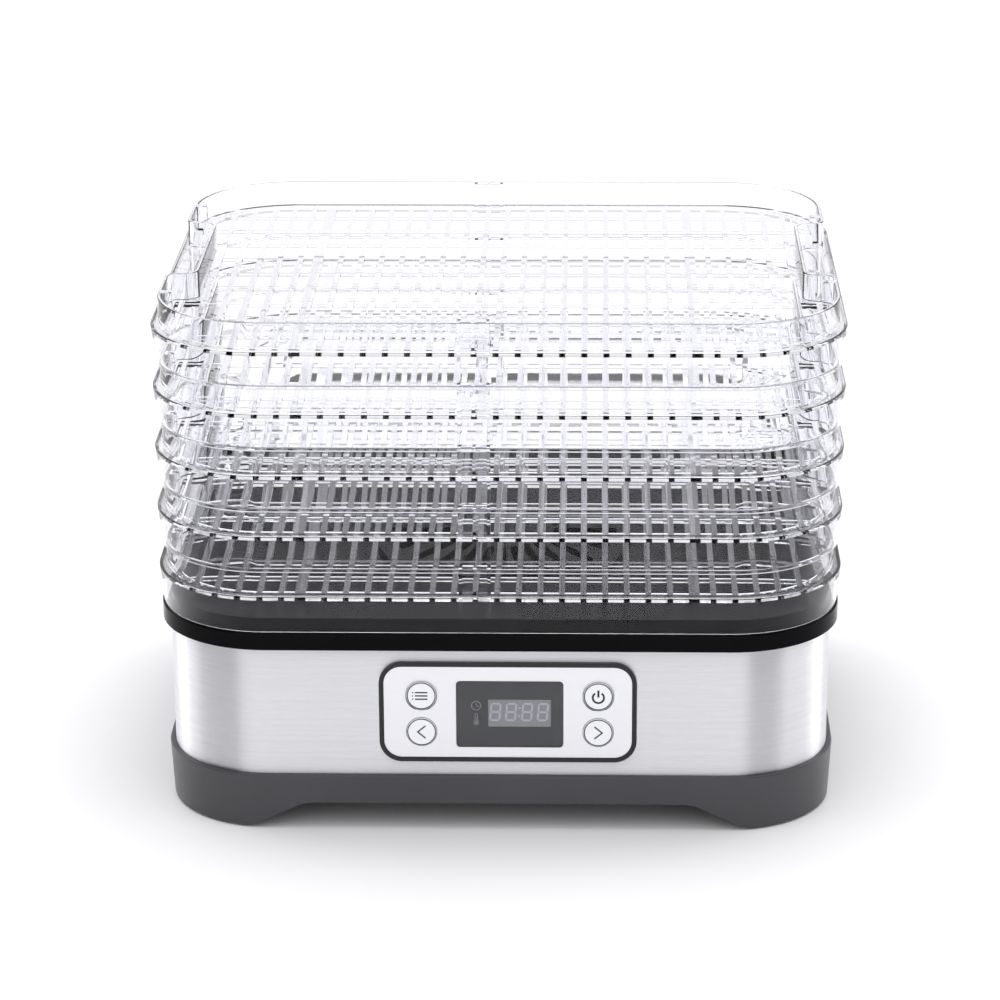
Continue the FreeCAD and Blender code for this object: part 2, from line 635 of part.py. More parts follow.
def tray_shell():
    body = new_body("tray_shell")
    block = new_sketch(body, "block", offset="ledge_height")
    inset_rectangle(block, "tray_width", "tray_depth", "0")
    pad(block, "ledge_height", True, f"-{SKIRT_TAPER}")
    round_edges(body, "shoulder_round", flat_at("ledge_height"))
    hollow = new_sketch(body, "hollow")
    inset_rectangle(hollow, "tray_width", "tray_depth", "skirt_draft + skirt_wall")
    pocket(hollow, FLOOR_UNDER, True, SKIRT_TAPER)
    round_edges(body, "lip_round", flat_at("0"))
    window = new_sketch(body, "window", offset="ledge_height")
    stepped_outline(window, WINDOW, "grip_radius / 3", "grip_radius")
    pocket(window, "floor_thickness")
    wall = new_sketch(body, "wall", offset="ledge_height")
    stepped_outline(wall, "wall_inset", "grip_radius", "grip_radius")
    stepped_outline(wall, WALL_INNER, "grip_radius - tray_wall", "grip_radius + tray_wall")
    pad(wall, "tray_height - ledge_height")
    round_edges(body, "rim_round", flat_at("tray_height"))
    lap = "-tray_wall / 2"
    for i, support in enumerate(support_places()):
        seat = new_sketch(body, f"seat_{i}", offset=FLOOR_UNDER)
        support_rectangle(seat, support, lap, "boss_depth")
        pad(seat, "floor_thickness")
        post = new_sketch(body, f"post_{i}", offset="ledge_height")
        support_rectangle(post, support, lap, "boss_depth")
        if support[2] == "boss_width":
            well = "(boss_width - 3 * boss_wall) / 2"
            for side in ("-", "+"):
                shift = f"{side}({well} + boss_wall) / 2"
                support_rectangle(post, support, "0", "boss_depth - boss_wall", shift, well)
        pad(post, "tray_height - ledge_height")
        rib = new_sketch(body, f"rib_{i}", offset=RIB_END)
        start = f"ridge_inset + ridge_wall + slide_clearance - ({WALL_INNER})"
        shifts = ("-", "+") if support[2] == "boss_width" else ("",)
        for side in shifts:
            shift = f"{side}(boss_width - rib_width) / 2" if side else "0"
            support_rectangle(rib, support, start, f"{start} + rib_depth", shift, "rib_width")
        pad(rib, f"{FLOOR_UNDER} - ({RIB_END})")
    return body


def tray_grid():
    """The floor's bars and their border, which fill the shell's window up to the seats."""
    body = new_body("tray_grid")
    ring = new_sketch(body, "ring", offset=FLOOR_UNDER)
    stepped_outline(ring, WINDOW, "grip_radius / 3", "grip_radius")
    stepped_outline(ring, f"{WINDOW} + grid_border", "grip_radius / 6", "grip_radius")
    pad(ring, "floor_thickness")
    length, width = f"tray_depth - 2 * ({WINDOW})", f"tray_width - 2 * ({WINDOW})"
    bar = new_sketch(body, "bar", offset=FLOOR_UNDER)
    rectangle(bar, "-bar_pitch * (bar_count - 1) / 2", "0", "bar_width", length)
    bars = pad(bar, "floor_thickness")
    pattern_row(body, bars, "X_Axis", "bar_pitch", "bar_count")
    wide = new_sketch(body, "wide_bars", offset=FLOOR_UNDER)
    for side in ("-", ""):
        rectangle(wide, f"{side}wide_bar_x", "0", "wide_bar_width", length)
    pad(wide, "floor_thickness")
    cross = new_sketch(body, "cross_bar", offset=f"{FLOOR_UNDER} + cross_recess")
    rectangle(cross, "0", "-cross_pitch * (cross_count - 1) / 2", width, "cross_width")
    crosses = pad(cross, "floor_thickness - 2 * cross_recess")
    pattern_row(body, crosses, "Y_Axis", "cross_pitch", "cross_count")
    trim = new_sketch(body, "trim", offset="ledge_height")
    rectangle(trim, "0", "0", "tray_width * 2", "tray_depth * 2")
    stepped_outline(trim, WINDOW, "grip_radius / 3", "grip_radius")
    pocket(trim, "floor_thickness")
    seats = new_sketch(body, "seats", offset="ledge_height")
    for support in support_places():
        support_rectangle(seats, support, "0", "boss_depth")
    pocket(seats, "floor_thickness")
    return body


TRAY_COUNT = 5


def trays():
    sources = {"": tray_shell(), "_grid": tray_grid()}
    for level in range(TRAY_COUNT):
        for ending, source in sources.items():
            name = f"tray_{level + 1}{ending}"
            tray = doc.addObject("Part::Compound", name)
            tray.Links = [source]
            node(place(tray, "0", "0", f"ring_top + {level} * tray_pitch"), name)


# ---------------------------------------------------------------- base

PAN_FLOOR_TOP = "arch_height + pan_floor"
BASE_CORNER = "(tray_width - base_width) / 2"
SHELL_CORNER = "(tray_width - shell_width) / 2"
DECK_TOP = "(ring_top + tray_height - tray_pitch)"
DECK_UNDER = f"({DECK_TOP} - deck_thickness)"
CORNERS = [(x, y) for x in (-1, 1) for y in (-1, 1)]


def arch(sketch, half):
    """The opening under one side: flat on top, with curves that run out at the feet."""
    foot, low = f"({half} + arch_run)", f"-{REACH}"
    far = f"({foot} + arch_radius)"
    outline(
        sketch,
        [
            (f"-{far}", low),
            (far, low),
            (far, "foot_gap"),
            (foot, "foot_gap", "arch_radius"),
            (half, "arch_height", "arch_radius"),
            (f"-{half}", "arch_height", "arch_radius"),
            (f"-{foot}", "foot_gap", "arch_radius"),
            (f"-{far}", "foot_gap"),
        ],
    )


def base_pan():
    body = new_body("base_pan")
    block = new_sketch(body, "block", offset="base_rim_top")
    inset_rectangle(block, "base_width", "base_depth", "0", BASE_CORNER)
    pad(block, "base_rim_top - foot_gap", True, "-atan(base_draft / (base_rim_top - foot_gap))")
    round_edges(body, "ring_round", flat_at("base_rim_top"))
    rim = new_sketch(body, "rim", offset="base_rim_top")
    inset_rectangle(rim, "shell_width", "shell_depth", "-fit_gap", SHELL_CORNER)
    pocket(rim, "base_rim_top - pan_seat")
    tub = new_sketch(body, "tub", offset="pan_seat")
    inset_rectangle(tub, "shell_width", "shell_depth", "shell_wall + pan_ledge", SHELL_CORNER)
    pocket(tub, f"pan_seat - ({PAN_FLOOR_TOP})")
    cups = new_sketch(body, "cups", offset=PAN_FLOOR_TOP)
    for x, y in CORNERS:
        near_x, near_y = f"{x} * (pad_x - pad_radius)", f"{y} * (pad_y - pad_radius)"
        far_x = f"{x} * (pad_x + pad_radius + foot_margin)"
        far_y = f"{y} * (pad_y + pad_radius + foot_margin)"
        corners = [(near_x, near_y), (far_x, near_y), (far_x, far_y, "foot_corner")]
        outline(cups, corners + [(near_x, far_y)])
    pocket(cups, f"{PAN_FLOOR_TOP} - (foot_gap + pad_recess + foot_wall)")
    front = new_sketch(body, "front_arch", "XZ_Plane", "tray_depth / 2")
    arch(front, "front_arch_half")
    pocket(front, "tray_depth")
    side = new_sketch(body, "side_arch", "YZ_Plane", "tray_width / 2")
    arch(side, "side_arch_half")
    pocket(side, "tray_width")
    pads = new_sketch(body, "pad_seats", offset="foot_gap")
    for x, y in CORNERS:
        circle(pads, f"{x} * pad_x", f"{y} * pad_y", "pad_radius + fit_gap / 2")
    pocket(pads, "pad_recess", True)
    bosses = new_sketch(body, "bosses", offset=PAN_FLOOR_TOP)
    for x, y in CORNERS:
        circle(bosses, f"{x} * screw_x", f"{y} * screw_y", "screw_boss_radius")
    pad(bosses, f"screw_boss_top - ({PAN_FLOOR_TOP})")
    posts = new_sketch(body, "board_posts", offset=PAN_FLOOR_TOP)
    power_corners(posts, "board_inset - fit_gap")
    pad(posts, f"power_z - ({PAN_FLOOR_TOP})")
    intake = new_sketch(body, "intake", offset=PAN_FLOOR_TOP)
    circle(intake, "0", "0", "intake_radius")
    pocket(intake, "pan_floor")
    wells = new_sketch(body, "screw_wells", offset="arch_height")
    for x, y in CORNERS:
        circle(wells, f"{x} * screw_x", f"{y} * screw_y", "screw_well_radius")
    pocket(wells, "pan_floor + screw_well_roof", True)
    holes = new_sketch(body, "screw_holes", offset="screw_boss_top")
    for x, y in CORNERS:
        circle(holes, f"{x} * screw_x", f"{y} * screw_y", "housing_screw + fit_gap")
    pocket(holes, f"screw_boss_top - ({PAN_FLOOR_TOP})")
    pilots = new_sketch(body, "board_pilots", offset="power_z")
    power_corners(pilots, "small_screw")
    pocket(pilots, "board_screw_length")
    anchors = new_sketch(body, "duct_pilots", offset=PAN_FLOOR_TOP)
    for x, y in CORNERS:
        circle(anchors, *on_circle("duct_screw_radius", x, y), "small_screw")
    pocket(anchors, "pan_floor * 0.8")
    return node(body, "base_pan")


def power_corners(sketch, radius):
    for x, y in CORNERS:
        across = f"power_x + {x} * (power_width / 2 - board_inset)"
        along = f"power_y + {y} * (power_depth / 2 - board_inset)"
        circle(sketch, across, along, radius)


def on_circle(radius, x, y):
    """A place on a circle about the fan axis, in one of the four diagonal directions."""
    return f"{x} * {radius} / sqrt(2)", f"{y} * {radius} / sqrt(2)"


def foot_pads():
    height = "foot_gap + pad_recess"
    places = [(f"{x} * pad_x", f"{y} * pad_y", "0") for x, y in CORNERS]
    pads = [cylinder(f"pad_{i}", "pad_radius", height, *p) for i, p in enumerate(places)]
    group("foot_pads", pads)


def steel_shell():
    body = new_body("steel_shell")
    band = new_sketch(body, "band", offset="pan_seat")
    inset_rectangle(band, "shell_width", "shell_depth", "0", SHELL_CORNER)
    inset_rectangle(band, "shell_width", "shell_depth", "shell_wall", SHELL_CORNER)
    pad(band, "shell_top - pan_seat")
    opening = new_sketch(body, "opening", "XZ_Plane", "tray_depth / 2")
    margin = "2 * (bezel_frame - bezel_wall - fit_gap / 2)"
    rectangle(
        opening,
        "panel_x",
        "panel_z",
        f"bezel_width - {margin}",
        f"bezel_height - {margin}",
        f"bezel_radius - {margin} / 2",
    )
    pocket(opening, "tray_depth / 4")
    gland = new_sketch(body, "gland", "XZ_Plane", "-tray_depth / 2")
    circle(gland, "gland_x", "gland_z", "gland_radius + fit_gap / 2")
    pocket(gland, "tray_depth / 4", True)
    return node(body, "steel_shell")


def top_housing():
    body = new_body("top_housing")
    ring_corner = "(tray_width - ring_width) / 2"
    inner = "shell_wall + fit_gap"
    ring = new_sketch(body, "ring", offset="shell_top")
    inset_rectangle(ring, "ring_width", "ring_depth", "0", ring_corner)
    pad(ring, "ring_top - shell_top")
    round_edges(body, "ring_round", flat_at("ring_top"))
    ridge = new_sketch(body, "ridge", offset="ring_top")
    inset_rectangle(ridge, "tray_width", "tray_depth", "ridge_inset")
    pad(ridge, "ridge_top - ring_top")
    flange = new_sketch(body, "flange", offset="shell_top")
    inset_rectangle(flange, "shell_width", "shell_depth", inner, SHELL_CORNER)
    pad(flange, "flange_drop", True)
    recess = new_sketch(body, "recess", offset="ridge_top")
    inset_rectangle(recess, "tray_width", "tray_depth", "ridge_inset + ridge_wall")
    pocket(recess, f"ridge_top - {DECK_TOP}")
    under = new_sketch(body, "underside", offset="shell_top - flange_drop")
    inset_rectangle(under, "shell_width", "shell_depth", f"{inner} + flange_wall", SHELL_CORNER)
    pocket(under, f"{DECK_UNDER} - (shell_top - flange_drop)", True)
    bosses = new_sketch(body, "bosses", offset="screw_boss_top")
    for x, y in CORNERS:
        circle(bosses, f"{x} * screw_x", f"{y} * screw_y", "screw_boss_radius")
    pad(bosses, f"{DECK_UNDER} - screw_boss_top")
    pilots = new_sketch(body, "pilots", offset="screw_boss_top")
    for x, y in CORNERS:
        circle(pilots, f"{x} * screw_x", f"{y} * screw_y", "housing_screw")
    pocket(pilots, "housing_screw_length", True)
    outlet = new_sketch(body, "outlet", offset="ridge_top")
    circle(outlet, "0", "0", "outlet_radius")
    pocket(outlet, "ridge_top - shell_top")
    return node(body, "top_housing")


def housing_screws():
    start = "arch_height + pan_floor + screw_well_roof"
    length = f"screw_boss_top - ({start}) + housing_screw_length * 0.8"
    group(
        "housing_screws",
        [
            screw(
                f"housing_screw_{i}",
                "housing_screw",
                length,
                f"{x} * screw_x",
                f"{y} * screw_y",
                start,
                -1,
            )
            for i, (x, y) in enumerate(CORNERS)
        ],
    )


# ---------------------------------------------------------------- air path


def grille(name, hole, flange_z, slot_width, drop):
    """A slotted disc whose flange lies on a hole's edge and whose spigot drops into it."""
    body = new_body(name)
    disc = new_sketch(body, "disc", offset=flange_z)
    circle(disc, "0", "0", f"{hole} + grille_flange")
    pad(disc, "grille_thickness")
    spigot = new_sketch(body, "spigot", offset=flange_z)
    circle(spigot, "0", "0", f"{hole} - fit_gap")
    pad(spigot, drop, True)
    slot = new_sketch(body, "slot", offset=f"{flange_z} + grille_thickness")
    outer = f"({hole} - grille_flange)"
    middle = f"(slot_inner + {outer}) / 2"
    rectangle(slot, middle, "0", f"{outer} - slot_inner", slot_width, f"{slot_width} * 0.45")
    cutter = pocket(slot, f"grille_thickness + {drop}")
    pattern_round(body, cutter, "slot_count")
    return node(body, name)


def fan_duct():
    body = new_body("fan_duct")
    outer = "(duct_radius + duct_wall)"
    seat = f"({PAN_FLOOR_TOP} + grille_thickness)"
    skirt = "(duct_radius + duct_wall + fit_gap)"
    profile = new_sketch(body, "profile", "XZ_Plane")
    outline(
        profile,
        [
            ("duct_radius", seat),
            (skirt, seat),
            (skirt, PAN_FLOOR_TOP),
            ("duct_flange_radius", PAN_FLOOR_TOP),
            ("duct_flange_radius", f"{seat} + duct_wall"),
            (outer, f"{seat} + duct_wall"),
            (outer, f"{DECK_UNDER} - fit_gap"),
            ("duct_radius", f"{DECK_UNDER} - fit_gap"),
        ],
    )
    revolve(profile)
    for ledge_name, top in (("bracket_ledge", "bracket_z"), ("heater_ledge", "heater_z")):
        ledge = new_sketch(body, ledge_name, offset=f"{top} - ledge_drop")
        width = f"({ledge_name} + duct_wall / 2)"
        rectangle(ledge, f"duct_radius + duct_wall / 2 - {width} / 2", "0", width, "ledge_block")
        pattern_round(body, pad(ledge, "ledge_drop"), "4")
    holes = new_sketch(body, "screw_holes", offset=f"{seat} + duct_wall")
    for x, y in CORNERS:
        circle(holes, *on_circle("duct_screw_radius", x, y), "small_screw + fit_gap")
    pocket(holes, "duct_wall + grille_thickness")
    pilot = new_sketch(body, "bracket_pilot", offset="bracket_z")
    circle(pilot, "arm_screw_radius", "0", "small_screw")
    pattern_round(body, pocket(pilot, "ledge_drop"), "4")
    probe = new_sketch(body, "probe_hole", "YZ_Plane", "duct_radius - probe_reach")
    circle(probe, "probe_y", "probe_z", "probe_radius + fit_gap / 2")
    pocket(probe, "probe_reach + duct_wall * 2", True)
    return node(body, "fan_duct")


def duct_screws():
    top = f"{PAN_FLOOR_TOP} + grille_thickness + duct_wall"
    length = "duct_wall + grille_thickness + pan_floor * 0.6"
    group(
        "duct_screws",
        [
            screw(
                f"duct_screw_{i}",
                "small_screw",
                length,
                *on_circle("duct_screw_radius", x, y),
                top,
                1,
            )
            for i, (x, y) in enumerate(CORNERS)
        ],
    )


def motor_bracket():
    body = new_body("motor_bracket")
    hub = new_sketch(body, "hub", offset="bracket_z")
    circle(hub, "0", "0", "bracket_hub")
    pad(hub, "bracket_thickness")
    arm = new_sketch(body, "arm", offset="bracket_z")
    reach = "(duct_radius - fit_gap * 2)"
    rectangle(arm, f"{reach} / 2 + bracket_hub / 4", "0", f"{reach} - bracket_hub / 2", "arm_width")
    pattern_round(body, pad(arm, "bracket_thickness"), "4")
    eye = new_sketch(body, "eye", offset="bracket_z + bracket_thickness")
    circle(eye, "0", "0", "bearing_radius + fit_gap * 3")
    for side in ("-", ""):
        circle(eye, "0", f"{side}motor_screw_radius", "small_screw + fit_gap")
    pocket(eye, "bracket_thickness")
    hole = new_sketch(body, "arm_hole", offset="bracket_z + bracket_thickness")
    circle(hole, "arm_screw_radius", "0", "small_screw + fit_gap")
    pattern_round(body, pocket(hole, "bracket_thickness"), "4")
    return node(body, "motor_bracket")


def bracket_screws():
    top = "bracket_z + bracket_thickness"
    arms = [(1, 0), (0, 1), (-1, 0), (0, -1)]
    screws = [
        screw(
            f"arm_screw_{i}",
            "small_screw",
            "bracket_thickness + ledge_drop * 0.8",
            f"{x} * arm_screw_radius",
            f"{y} * arm_screw_radius",
            top,
            1,
        )
        for i, (x, y) in enumerate(arms)
    ]
    for i, side in enumerate(("-", "")):
        length = "bracket_thickness + motor_wall"
        place_y = f"{side}motor_screw_radius"
        screws.append(screw(f"motor_screw_{i}", "small_screw", length, "0", place_y, top, 1))
    group("bracket_screws", screws)


MOTOR_BOTTOM = "(bracket_z - motor_length)"


def motor_housing():
    body = new_body("motor_housing")
    profile = new_sketch(body, "profile", "XZ_Plane")
    hole, wall = "bearing_radius", "motor_wall"
    outline(
        profile,
        [
            (hole, MOTOR_BOTTOM),
            ("motor_radius", MOTOR_BOTTOM),
            ("motor_radius", "bracket_z"),
            (hole, "bracket_z"),
            (hole, "bracket_z - bearing_length"),
            (f"{hole} + {wall}", "bracket_z - bearing_length"),
            (f"{hole} + {wall}", f"bracket_z - {wall}"),
            (f"motor_radius - {wall}", f"bracket_z - {wall}"),
            (f"motor_radius - {wall}", f"{MOTOR_BOTTOM} + {wall}"),
            (f"{hole} + {wall}", f"{MOTOR_BOTTOM} + {wall}"),
            (f"{hole} + {wall}", f"{MOTOR_BOTTOM} + bearing_length"),
            (hole, f"{MOTOR_BOTTOM} + bearing_length"),
        ],
    )
    revolve(profile)
    pilots = new_sketch(body, "pilots", offset="bracket_z")
    for side in ("-", ""):
        circle(pilots, "0", f"{side}motor_screw_radius", "small_screw")
    pocket(pilots, "motor_wall")
    return node(body, "motor_housing")


def tube(name, outer, inner, height, x, y, z, turn=None):
    hole = cylinder(f"{name}_bore", inner, height, x, y, z, turn)
    return cut(name, cylinder(f"{name}_rod", outer, height, x, y, z, turn), hole)


def motor_inside():
    bore = "shaft_radius + shaft_clearance"
    bearings = [
        tube(f"bearing_{i}", "bearing_radius", bore, "bearing_length", "0", "0", z)
        for i, z in enumerate((MOTOR_BOTTOM, "bracket_z - bearing_length"))
    ]
    group("motor_bearings", bearings)
    outer = "motor_radius - motor_wall"
    low, high = f"({MOTOR_BOTTOM} + motor_wall * 4)", "(bracket_z - motor_wall * 4)"
    stator = tube(
        "motor_stator", outer, "rotor_radius + rotor_gap", f"{high} - {low}", "0", "0", low
    )
    node(stator, "motor_stator")
    rotor = tube("motor_rotor", "rotor_radius", "shaft_radius", f"{high} - {low}", "0", "0", low)
    node(rotor, "motor_rotor")
    shaft_start = f"({MOTOR_BOTTOM} - motor_wall)"
    length = f"fan_z + fan_height - {shaft_start}"
    node(cylinder("motor_shaft", "shaft_radius", length, "0", "0", shaft_start), "motor_shaft")


def fan_impeller():
    body = new_body("fan_impeller")
    hub = new_sketch(body, "hub", offset="fan_z")
    circle(hub, "0", "0", "fan_hub_radius")
    pad(hub, "fan_height")
    blade = new_sketch(body, "blade", "XZ_Plane", "fan_hub_radius - blade_root")
    outline(
        blade,
        [
            ("-blade_chord / 2", "fan_z + blade_rise"),
            ("blade_chord / 2 - blade_skin", "fan_z"),
            ("blade_chord / 2", "fan_z"),
            ("-blade_chord / 2 + blade_skin", "fan_z + blade_rise"),
        ],
    )
    blades = pad(blade, "fan_radius - fan_hub_radius + blade_root")
    pattern_round(body, blades, "blade_count")
    cup = new_sketch(body, "cup", offset="fan_z")
    circle(cup, "0", "0", "fan_hub_radius - blade_skin")
    circle(cup, "0", "0", "shaft_radius + blade_skin")
    pocket(cup, "fan_height - blade_skin", True)
    bore = new_sketch(body, "bore", offset="fan_z + fan_height")
    circle(bore, "0", "0", "shaft_radius")
    pocket(bore, "fan_height")
    return node(body, "fan_impeller")


COIL_RINGS = 3


def coil_ring_radius(i):
    return f"(coil_inner + {i} * coil_step)"


def heater():
    length = "duct_radius * 2 - fit_gap * 4"
    sheets = [
        box("sheet_x", length, "heater_sheet", "heater_height", "0", "0", "heater_z"),
        box("sheet_y", "heater_sheet", length, "heater_height", "0", "0", "heater_z"),
    ]
    coil_z = "heater_z + heater_height / 2"
    holes, rings = [], []
    for i in range(COIL_RINGS):
        radius = coil_ring_radius(i)
        ring = doc.addObject("Part::Torus", f"coil_{i}")
        ring.setExpression("Radius1", bound(radius))
        ring.setExpression("Radius2", bound("coil_radius"))
        rings.append(place(ring, "0", "0", coil_z))
        through, bore, shift = "heater_sheet * 3", "coil_radius + fit_gap", "-heater_sheet * 1.5"
        for end, side in (("low", "-"), ("high", "")):
            place_x = (f"{side}{radius}", shift, coil_z)
            place_y = (shift, f"{side}{radius}", coil_z)
            holes.append(cylinder(f"coil_hole_x_{end}_{i}", bore, through, *place_x, ALONG_Y))
            holes.append(cylinder(f"coil_hole_y_{end}_{i}", bore, through, *place_y, ALONG_X))
    cross = cut("heater_frame", fused("cross", sheets), fused("coil_holes", holes))
    node(cross, "heater_frame")
    group("heater_coil", rings)
    top = "heater_z + heater_height - cutoff_radius"
    beside = "heater_sheet / 2 + cutoff_radius + fit_gap / 3"
    start = "coil_inner + cutoff_start"
    cutoff = cylinder("thermal_cutoff", "cutoff_radius", "coil_step", start, beside, top, ALONG_X)
    node(cutoff, "thermal_cutoff")
    probe = cylinder(
        "temperature_sensor",
        "probe_radius",
        "probe_reach + duct_wall * 2",
        "duct_radius - probe_reach",
        "probe_y",
        "probe_z",
        ALONG_X,
    )
    node(probe, "temperature_sensor")


# ---------------------------------------------------------------- electronics


def power_board():
    board = box(
        "power_blank",
        "power_width",
        "power_depth",
        "board_thickness",
        "power_x",
        "power_y",
        "power_z",
    )
    corners = [
        (
            f"power_x + {x} * (power_width / 2 - board_inset)",
            f"power_y + {y} * (power_depth / 2 - board_inset)",
        )
        for x, y in CORNERS
    ]
    holes = [
        cylinder(f"power_hole_{i}", "small_screw + fit_gap / 2", "board_thickness", *p, "power_z")
        for i, p in enumerate(corners)
    ]
    node(cut("power_board", board, fused("power_holes", holes)), "power_board")
    top = "power_z + board_thickness"
    length = "board_thickness + board_screw_length * 0.8"
    group(
        "power_board_screws",
        [
            screw(f"power_screw_{i}", "small_screw", length, *p, top, 1)
            for i, p in enumerate(corners)
        ],
    )
    pieces = []
    for name in ("transformer", "relay", "heat_sink", "terminal"):
        sides = [f"{name}_{side}" for side in ("width", "depth", "height")]
        pieces.append(box(name, *sides, f"power_x + {name}_x", f"power_y + {name}_y", top))
    middle = ("power_x + capacitor_x", "power_y + capacitor_y", top)
    pieces.append(cylinder("capacitor", "capacitor_radius", "capacitor_height", *middle))
    group("power_components", pieces)


def cable_gland():
    body = new_body("cable_gland")
    profile = new_sketch(body, "profile", "XY_Plane")
    inside, outside = "(shell_depth / 2 - gland_length)", "shell_depth / 2"
    outline(
        profile,
        [
            ("gland_bore", inside),
            ("gland_radius", inside),
            ("gland_radius", outside),
            ("gland_flange", outside),
            ("gland_flange", f"{outside} + gland_proud - gland_bevel"),
            ("gland_flange - gland_bevel", f"{outside} + gland_proud"),
            ("gland_bore", f"{outside} + gland_proud"),
        ],
    )
    revolve(profile)
    node(place(body, "gland_x", "0", "gland_z"), "cable_gland")
    nut_y = "shell_depth / 2 - shell_wall - gland_nut_length"
    nut = tube(
        "gland_nut",
        "gland_flange",
        "gland_radius",
        "gland_nut_length",
        "gland_x",
        nut_y,
        "gland_z",
        ALONG_Y,
    )
    node(nut, "gland_nut")


# ---------------------------------------------------------------- control panel

FRONT = "shell_depth / 2"  # distance of the shell's front face from the middle
BEZEL_FRONT = f"({FRONT} + bezel_proud)"
PLATE_FRONT = f"({BEZEL_FRONT} - plate_recess)"
PLATE_BACK = f"({PLATE_FRONT} - plate_thickness)"
BOARD_FRONT = "(-control_y)"
BUTTONS = [
    ("button_menu", "button_left_x", "button_upper_z"),
    ("button_down", "button_left_x", "button_lower_z"),
    ("button_power", "button_right_x", "button_upper_z"),
    ("button_up", "button_right_x", "button_lower_z"),
]


def panel_rectangle(sketch, inset):
    size = [f"{side} - 2 * ({inset})" for side in ("bezel_width", "bezel_height")]
    rectangle(sketch, "panel_x", "panel_z", *size, f"bezel_radius - ({inset})")


def board_corners():
    """The control board's four screw places, on the bezel's rear posts."""
    for x, y in CORNERS:
        yield (
            f"panel_x + {x} * (bezel_width / 2 - board_post_inset)",
            f"panel_z + {y} * (bezel_height / 2 - board_post_inset)",
        )


def panel_bezel():
    body = new_body("panel_bezel")
    frame = new_sketch(body, "frame", "XZ_Plane", FRONT)
    panel_rectangle(frame, "0")
    panel_rectangle(frame, "bezel_frame")
    pad(frame, "bezel_proud")
    wall = new_sketch(body, "wall", "XZ_Plane", FRONT)
    panel_rectangle(wall, "bezel_frame - bezel_wall")
    panel_rectangle(wall, "bezel_frame")
    pad(wall, "bezel_depth", True)
    ledge = new_sketch(body, "ledge", "XZ_Plane", PLATE_BACK)
    panel_rectangle(ledge, "bezel_frame - bezel_wall / 2")
    panel_rectangle(ledge, "bezel_frame + bezel_ledge")
    pad(ledge, "plate_thickness", True)
    posts = new_sketch(body, "posts", "XZ_Plane", PLATE_BACK)
    for corner in board_corners():
        circle(posts, *corner, "board_post")
    pad(posts, f"{PLATE_BACK} - {BOARD_FRONT}", True)
    pilots = new_sketch(body, "pilots", "XZ_Plane", BOARD_FRONT)
    for corner in board_corners():
        circle(pilots, *corner, "small_screw")
    pocket(pilots, "board_screw_length", True)
    return node(body, "panel_bezel")


def panel_plate():
    body = new_body("panel_plate")
    plate = new_sketch(body, "plate", "XZ_Plane", PLATE_FRONT)
    panel_rectangle(plate, "bezel_frame + fit_gap / 2")
    pad(plate, "plate_thickness", True)
    openings = new_sketch(body, "openings", "XZ_Plane", PLATE_FRONT)
    for name, x, z in BUTTONS:
        circle(openings, x, z, "button_radius + slide_clearance")
    window = [f"{side} + fit_gap" for side in ("lens_width", "lens_height")]
    rectangle(openings, "lens_x", "lens_z", *window, "lens_radius")
    pocket(openings, "plate_thickness")
    return node(body, "panel_plate")


def display_lens():
    body = new_body("display_lens")
    lens = new_sketch(body, "lens", "XZ_Plane", f"{PLATE_FRONT} + lens_proud")
    rectangle(lens, "lens_x", "lens_z", "lens_width", "lens_height", "lens_radius")
    pad(lens, "plate_thickness + lens_proud", True)
    return node(body, "display_lens")


def button(name, x, z):
    """A round cap through the plate, a flange behind it and a stem towards its switch."""
    body = new_body(name)
    cap = new_sketch(body, "cap", "XZ_Plane", f"{PLATE_FRONT} + button_proud")
    circle(cap, "0", "0", "button_radius")
    pad(cap, "button_proud + plate_thickness + slide_clearance", True)
    flange = new_sketch(body, "flange", "XZ_Plane", f"{PLATE_BACK} - slide_clearance / 3")
    circle(flange, "0", "0", "button_radius + button_flange")
    pad(flange, "button_flange", True)
    end = f"({BOARD_FRONT} + switch_height + plunger_height + button_travel + slide_clearance)"
    stem = new_sketch(body, "stem", "XZ_Plane", end)
    circle(stem, "0", "0", "stem_radius")
    pad(stem, f"{PLATE_BACK} - {end}")
    return node(place(body, x, "0", z), name)


def control_board():
    body = new_body("control_board")
    board = new_sketch(body, "board", "XZ_Plane", BOARD_FRONT)
    panel_rectangle(board, "bezel_frame + fit_gap")
    pad(board, "board_thickness", True)
    holes = new_sketch(body, "holes", "XZ_Plane", BOARD_FRONT)
    for corner in board_corners():
        circle(holes, *corner, "small_screw + fit_gap / 2")
    pocket(holes, "board_thickness")
    node(body, "control_board")
    back = "control_y + board_thickness"
    length = "board_thickness + board_screw_length * 0.8"
    screws = [
        screw(f"control_screw_{i}", "small_screw", length, x, back, z, 1, ALONG_Y)
        for i, (x, z) in enumerate(board_corners())
    ]
    group("control_board_screws", screws)


def switches():
    pieces = []
    for name, x, z in BUTTONS:
        base = box(
            f"{name}_switch_base",
            "switch_size",
            "switch_height",
            "switch_size",
            x,
            "control_y - switch_height / 2",
            f"{z} - switch_size / 2",
        )
        plunger_y = "control_y - switch_height - plunger_height"
        plunger = cylinder(
            f"{name}_plunger", "stem_radius * 0.9", "plunger_height", x, plunger_y, z, ALONG_Y
        )
        pieces.append(fused(f"{name}_switch", [base, plunger]))
    group("push_switches", pieces)


def led_module():
    front = f"-({PLATE_BACK} - fit_gap)"
    depth = f"({PLATE_BACK} - fit_gap - {BOARD_FRONT})"
    low = "led_z - led_height / 2"
    face = box(
        "led_face", "led_width", f"{depth} / 2", "led_height", "led_x", f"{front} + {depth} / 4", low
    )
    legs = box(
        "led_legs",
        "led_width * 0.85",
        f"{depth} / 2",
        "led_height * 0.7",
        "led_x",
        f"{front} + {depth} * 0.75",
        "led_z - led_height * 0.35",
    )
    node(fused("led_module", [face, legs]), "led_module")


